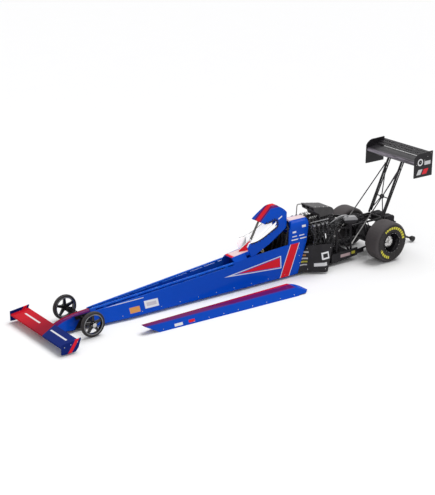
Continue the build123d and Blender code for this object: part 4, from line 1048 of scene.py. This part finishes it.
class DRAGCAR_OT_plumbing(bpy.types.Operator):
    """Add the bottles, control box, hoses, calipers and strip ends behind the engine"""

    bl_idname = "dragcar.plumbing"
    bl_label = "Plumbing"

    def execute(self, context):
        radius = context.scene.dragcar_trim.hose_radius / MM
        # The hoses' bright specks are painted glints, like light catching braid
        rubber = moulding("hose_rubber", (0.008, 0.008, 0.009), 0.4, painted_glints=0.6)
        self.bottles()
        self.control_box()
        for side, way in SIDES:
            hoses = [self.hose(way, share, radius) for share in np.linspace(0, 1, 6)]
            drops = [self.drop(way, x, radius) for x in (10.6, 13.4, 16.2)]
            piece(f"rear_hoses_{side}", joined(hoses + drops), "belt", material=rubber)
            loops = [self.side_hose(way, share, radius) for share in np.linspace(0, 1, 7)]
            piece(f"side_hoses_{side}", joined(loops), "belt", material=rubber)
            can = [(0.0, 2.2), (0.4, 2.8), (7.6, 2.8), (8.4, 2.4), (8.8, 1.2), (10.6, 1.1)]
            oil_filter = turned(can, (51.0, way * 7.4, 22.4), sides=28, axis=UP)
            piece(f"oil_filter_{side}", oil_filter, "engine_black")
            caliper = block_shape((9.8, way * 14.6, 17.6), (4.6, 3.4, 9.0))
            piece(f"brake_caliper_{side}", caliper, "engine_black")
            end = block_shape((18.2, way * 12.98, 8.6), (8.4, 0.7, 4.6), edge=0.3)
            piece(f"strip_end_{side}", end, "panel_black", material=material_of("belly_pan"))
        return {"FINISHED"}

    def hose(self, way, share, radius):
        """One hose of a fan from a cylinder head over the frame rail to the control box."""
        path = [(55.0, 9.8 - 2.4 * share, 26.0 + 6.0 * share), (50.0, 10.4 - 3.4 * share, 33.5 + 5.0 * share),
                (43.0, 9.6 - 3.0 * share, 38.6 + 3.6 * share), (33.0, 6.6 - 1.2 * share, 37.4 + 4.2 * share),
                (24.0, 6.0 - 3.0 * share, 37.0 + 3.0 * share), (18.4, 5.4 - 4.2 * share, 36.6 + 1.2 * share)]
        return tube(through(mirrored(path, way), count=48), radius * (0.8 + 0.4 * share))

    def drop(self, way, x, radius):
        """One hose from the control box down to the axle housing."""
        path = [(x, 5.2, 35.6), (x - 5.0, 7.4, 33.0), (x - 8.0, 7.6, 27.0), (x - 9.0, 7.0, 22.0)]
        return tube(through(mirrored(path, way), count=28), radius * 0.8)

    def side_hose(self, way, share, radius):
        """One of the hoses that loop from the supercharger's side out over the header pipes and down to the
        block. Their swing goes to and fro from one to the next."""
        x = 80.0 - 23.0 * share
        swing = math.sin(9.0 * share)
        path = [(x + 1.0, 7.6, 44.0 + swing), (x + 0.4, 12.6 + swing, 44.6 - 2.0 * share),
                (x - 2.4 * swing, 17.6 - 0.5 * swing, 37.0 - 2.0 * share), (x + 1.6 * swing, 17.0, 29.0),
                (x - 1.0, 13.8, 23.6), (x - 1.6, 9.4, 20.6)]
        return tube(through(mirrored(path, way), count=48), radius * (1.25 - 0.4 * abs(swing)))

    def bottles(self):
        """Two bottles side by side along the car, on two cross pieces between the frame rails."""
        bottle = [(0.0, 0.9), (0.6, 2.0), (1.8, 2.7), (16.2, 2.7), (17.4, 2.0), (18.0, 1.0), (18.6, 0.9),
                  (19.8, 0.8)]
        pair = [turned(bottle, (22.0, y, BOTTLE_Z), BOTTLE_SIDES, ALONG) for y in BOTTLE_Y]
        piece("air_bottles", joined(pair), "engine_black")
        band = [(0.0, 2.85), (1.0, 2.85), (1.0, 2.6), (0.0, 2.6)]
        bands = [turned(band, (x, y, BOTTLE_Z), BOTTLE_SIDES, ALONG, closed=True)
                 for x in (25.0, 36.0) for y in BOTTLE_Y]
        piece("bottle_bands", joined(bands), "bright_metal")
        cradles = [block_shape((x, 0.0, 34.6), (1.4, 18.2, 1.0), edge=0.3) for x in (25.5, 36.5)]
        piece("bottle_cradles", joined(cradles), "engine_black")

    def control_box(self):
        """A finned box across the frame rails ahead of the axle."""
        box = [block_shape((BOX_X, 0.0, 36.4), (10.4, 11.0, 3.6), edge=0.6),
               block_shape((BOX_X, 0.0, 34.5), (3.0, 18.0, 0.9), edge=0.3)]
        fins = [block_shape((BOX_X + along, 0.0, 38.6), (0.7, 9.6, 1.6), edge=0.2)
                for along in (-3.6, -1.8, 0.0, 1.8, 3.6)]
        piece("control_box", joined(box + fins), "engine_black")


# Cockpit

WINDOW = ((146.0, 40.8), (140.4, 41.0), (132.7, 43.0), (124.1, 47.0), (118.9, 49.6), (116.6, 51.6),
          (116.8, 55.2), (119.4, 56.8), (124.3, 55.4), (130.4, 55.2))
SHROUD_HALF = 9.0
SHROUD_TURN_Z = 50.5
SHROUD_DRAW_IN = 0.0152


def on_shroud(outline, way, sunk=0.0):
    """Points of (x, z) set on the shroud's side, which is upright and then drawn in with the square of the
    rise."""
    x, z = outline.T
    half = SHROUD_HALF - SHROUD_DRAW_IN * np.clip(z - SHROUD_TURN_Z, 0, None) ** 2
    return np.stack([x, way * (half - sunk), z], -1)


class DRAGCAR_OT_cockpit(bpy.types.Operator):
    """Add window edging, harness and gauges to the cockpit"""

    bl_idname = "dragcar.cockpit"
    bl_label = "Cockpit"

    def execute(self, context):
        trim = context.scene.dragcar_trim
        rubber = moulding("window_edging", tuple(context.scene.dragcar_paint.black), 0.5)
        webbing = moulding("harness_webbing", (0.014, 0.012, 0.013), 0.75, grain=0.2)
        for side, way in SIDES:
            self.window(side, way, trim.seal_radius / MM, rubber)
            belt = mirrored([(99.0, 2.6, 38.6), (100.6, 2.7, 37.2), (100.6, 2.8, 30.0), (105.2, 2.9, 14.6),
                             (112.4, 2.0, 9.4)], way)
            shape = strap(through(belt, count=40), trim.strap_width / MM, thick=0.4, flat=ACROSS)
            piece(f"harness_strap_{side}", shape, "interior_black", material=webbing)
        buckle = [(0.0, 1.5), (0.5, 1.5), (0.7, 1.2), (0.7, 0.5), (0.5, 0.4)]
        shape = turned(buckle, (112.6, 0, 9.0), sides=24, axis=(0.3, 0, 1))
        piece("harness_buckle", shape, "bright_metal")
        bezel = [(0.1, 1.5), (-0.3, 1.5), (-0.45, 1.3), (-0.3, 1.15), (-0.15, 1.1)]
        dials = ((-3.4, 28.6), (0.0, 30.2), (3.4, 28.6))
        gauges = [turned(bezel, (141.0, y, z), sides=28, axis=ALONG) for y, z in dials]
        piece("dash_gauges", joined(gauges), "bright_metal")
        return {"FINISHED"}

    def window(self, side, way, radius, rubber):
        """A round edging along the window's outline, and studs in a row outside it."""
        outline = through(WINDOW, count=110)
        along = unit(np.gradient(outline, axis=0))
        away = np.stack([-along[:, 1], along[:, 0]], -1)
        edging = tube(on_shroud(outline + 0.25 * away, way, sunk=0.1), radius, sides=8)
        piece(f"window_edging_{side}", edging, "interior_black", material=rubber)
        studs = on_shroud((outline + 1.3 * away)[4:-2:5], way)
        shape = heads(studs, (0, way, 0), radius=0.55, height=0.22, sides=10)
        piece(f"window_studs_{side}", shape, "interior_black", material=rubber)


# Body and rear trim

RIVET_HEIGHT = 0.18
# Lines across the car start this far out
CAST_FROM = 60.0
COVER_Y = 42.0


class DRAGCAR_OT_fasteners(bpy.types.Operator):
    """Add round fasteners to the body skins, the wings and the cover"""

    bl_idname = "dragcar.fasteners"
    bl_label = "Fasteners"

    def execute(self, context):
        rivet = context.scene.dragcar_trim.rivet_radius / MM
        for side, way in SIDES:
            rows = {
                "tub": [(x, 4.6) for x in range(110, 300, 19)] + [(92.6, z) for z in (12, 19, 26)],
                f"side_panel_{side}": [(85.0, 5.0), (85.0, 24.6), (71.0, 5.0), (60.8, 22.0)],
                f"rear_end_plate_{side}": [
                    (-30.0, 88.6), (-35.0, 90.8), (-40.0, 92.2), (-44.0, 95.2), (-48.0, 98.0)],
                "shoulder_panel": [(x, 35.0) for x in (84.6, 92.6, 99.0)],
            }
            for node, spots in rows.items():
                self.row(node, side, rivet, spots, way * CAST_FROM, -way)
            # Heads on the left of both plates, so that the right one's stay within the car's width
            start = CAST_FROM if side == "left" else -36.0
            spots = [(343.6, 9.4), (349.6, 8.4), (355.4, 7.4)]
            self.row(f"front_end_plate_{side}", side, rivet, spots, start, -1)
            spots = [(x, 1.6) for x in range(130, 266, 15)]
            self.row("top_cover", side, rivet, spots, COVER_Y + way * 30, -way, "cover")
        return {"FINISHED"}

    def row(self, node, side, rivet, spots, start, way, body="chassis"):
        """Heads at spots of (x, z), where lines across the car from a start first meet a skin."""
        places, normals = on_skin(node, [(x, start, z) for x, z in spots], (0, way, 0))
        shape = heads(places, normals, rivet, RIVET_HEIGHT, sides=10)
        piece(f"{node}_fasteners_{side}", shape, "bright_metal", body)


class DRAGCAR_OT_rear(bpy.types.Operator):
    """Add straps to the parachute packs and bolts to the wing stand"""

    bl_idname = "dragcar.rear"
    bl_label = "Rear end"

    def execute(self, context):
        webbing = moulding("pack_webbing", (0.05, 0.05, 0.052), 0.7, grain=0.2)
        over = [(-15.4, 29.2), (-15.4, 32.8), (-16.4, 34.3), (-18.0, 34.55), (-24.4, 34.55), (-26.0, 34.3),
                (-27.0, 32.8), (-27.0, 29.2)]
        straps = []
        for y in (3.9, 9.1, -9.1, -3.9):
            path = through([(x, y, z) for x, z in over], count=48)
            straps.append(strap(path, width=1.3, thick=0.35, flat=ACROSS))
        piece("pack_straps", joined(straps), "pack_black", material=webbing)
        foot, top = (28.0, 12.3, 17.5), (-32.2, 10.95, 80.5)
        ends = [mirrored(end, way) for end in (foot, top) for side, way in SIDES]
        normals = [(0, way, 0) for side, way in SIDES] * 2
        piece("stay_bolts", heads(ends, normals, radius=0.7, height=0.5), "bright_metal")
        return {"FINISHED"}


# Stage

IMAGE_HEIGHT = 495
SENSOR_MM = 36.0
# The floor and the lights, in metres
FLOOR_HALF = 6.0
KEY_FROM = (-0.42, -0.08, 1.0)
FILL_FROM = (0.75, 0.95, 0.7)
FILL_AT = (0.0, 0.0, 0.03)


class DRAGCAR_OT_stage(bpy.types.Operator):
    """Set up the pale floor, the soft light and the camera at the photograph's angle"""

    bl_idname = "dragcar.stage"
    bl_label = "Stage"

    def execute(self, context):
        stage = context.scene.dragcar_stage
        self.floor(stage)
        self.world(context.scene, stage)
        self.key_light(stage)
        self.fill_light(stage)
        self.camera(context.scene, stage)
        context.scene.view_settings.view_transform = "Standard"
        return {"FINISHED"}

    def floor(self, stage):
        """A wide level sheet, pale with faint clouds."""
        mesh = bpy.data.meshes.new("studio_floor")
        edges = (-FLOOR_HALF, FLOOR_HALF)
        mesh.from_pydata([(x, y, 0.0) for x in edges for y in edges], [], [[0, 2, 3, 1]])
        finish = Finish("floor_paper", {"Specular IOR Level": 0.0, "Roughness": 0.9})
        pale = tuple(stage.floor)
        finish.feed("Base Color", finish.mix(finish.noise(grain=40.0), pale, toned(pale, 0.99)))
        mesh.materials.append(finish.material)
        linked("studio_floor", mesh)

    def world(self, scene, stage):
        """White where it is seen directly, in a reflection or through glass, and a softer light otherwise."""
        world = bpy.data.worlds.new("studio")
        scene.world = world
        world.use_nodes = True
        nodes, links = world.node_tree.nodes, world.node_tree.links
        light = nodes.new("ShaderNodeLightPath")
        seen = light.outputs["Is Camera Ray"]
        for ray in ("Is Glossy Ray", "Is Transmission Ray"):
            either = nodes.new("ShaderNodeMath")
            either.operation = "MAXIMUM"
            links.new(seen, either.inputs[0])
            links.new(light.outputs[ray], either.inputs[1])
            seen = either.outputs[0]
        level = nodes.new("ShaderNodeMapRange")
        level.inputs["To Min"].default_value = stage.sky
        level.inputs["To Max"].default_value = 1.0
        links.new(seen, level.inputs["Value"])
        sky = nodes["Background"]
        sky.inputs["Color"].default_value = (1.0, 1.0, 1.0, 1.0)
        links.new(level.outputs["Result"], sky.inputs["Strength"])

    def lamp(self, data, spot, target):
        """Stand a light at a spot and face it towards a target."""
        made = linked(data.name, data)
        made.location = spot
        made.rotation_euler = (Vector(target) - Vector(spot)).to_track_quat("-Z", "Y").to_euler()

    def key_light(self, stage):
        """A wide even light from above and a little behind, which leaves the floor evenly bright."""
        data = bpy.data.lights.new("key_light", "SUN")
        data.energy = stage.key
        data.angle = stage.spread
        self.lamp(data, KEY_FROM, (0.0, 0.0, 0.0))

    def fill_light(self, stage):
        """A square panel near the camera."""
        data = bpy.data.lights.new("fill_light", "AREA")
        data.size = 0.9
        data.energy = stage.fill
        self.lamp(data, FILL_FROM, FILL_AT)

    def camera(self, scene, stage):
        """The photograph's camera: heading and pitch give the line of view, roll turns it about that line."""
        data = bpy.data.cameras.new("camera")
        data.sensor_width = SENSOR_MM
        data.lens = stage.focal / IMAGE_HEIGHT * SENSOR_MM
        data.clip_end = 50.0
        made = linked("camera", data)
        view = Vector((math.cos(stage.heading) * math.cos(stage.pitch),
                       math.sin(stage.heading) * math.cos(stage.pitch), math.sin(stage.pitch)))
        level = Vector((math.sin(stage.heading), -math.cos(stage.heading), 0.0))
        right = Matrix.Rotation(-stage.roll, 3, view) @ level
        axes = Matrix((right, right.cross(view), -view)).transposed()
        spot = place(np.array(stage.camera_place) / MM).tolist()
        made.matrix_world = Matrix.Translation(spot) @ axes.to_4x4()
        scene.camera = made


OPERATORS = (
    DRAGCAR_OT_finishes, DRAGCAR_OT_tyres, DRAGCAR_OT_wheels, DRAGCAR_OT_engine, DRAGCAR_OT_plumbing,
    DRAGCAR_OT_cockpit, DRAGCAR_OT_fasteners, DRAGCAR_OT_rear, DRAGCAR_OT_stage,
)


class DRAGCAR_PT_panel(bpy.types.Panel):
    """Lists the settings and the steps that dress the car"""

    bl_idname = "DRAGCAR_PT_panel"
    bl_label = "Drag racing car"
    bl_space_type = "VIEW_3D"
    bl_region_type = "UI"
    bl_category = "Drag car"

    def draw(self, context):
        for settings in SETTINGS:
            group = getattr(context.scene, settings)
            box = self.layout.box()
            for name in group.__annotations__:
                box.prop(group, name)
        for operator in OPERATORS:
            self.layout.operator(operator.bl_idname)


SETTINGS = {"dragcar_paint": DragCarPaint, "dragcar_trim": DragCarTrim, "dragcar_stage": DragCarStage}
CLASSES = (*SETTINGS.values(), *OPERATORS, DRAGCAR_PT_panel)


def register():
    for made in CLASSES:
        bpy.utils.register_class(made)
    for name, group in SETTINGS.items():
        setattr(bpy.types.Scene, name, PointerProperty(type=group))


def unregister():
    for name in SETTINGS:
        delattr(bpy.types.Scene, name)
    for made in reversed(CLASSES):
        bpy.utils.unregister_class(made)


def main():
    register()
    bpy.ops.dragcar.finishes()
    bpy.ops.dragcar.tyres()
    bpy.ops.dragcar.wheels()
    bpy.ops.dragcar.engine()
    bpy.ops.dragcar.plumbing()
    bpy.ops.dragcar.cockpit()
    bpy.ops.dragcar.fasteners()
    bpy.ops.dragcar.rear()
    bpy.ops.dragcar.stage()


if __name__ == "__main__":
    main()
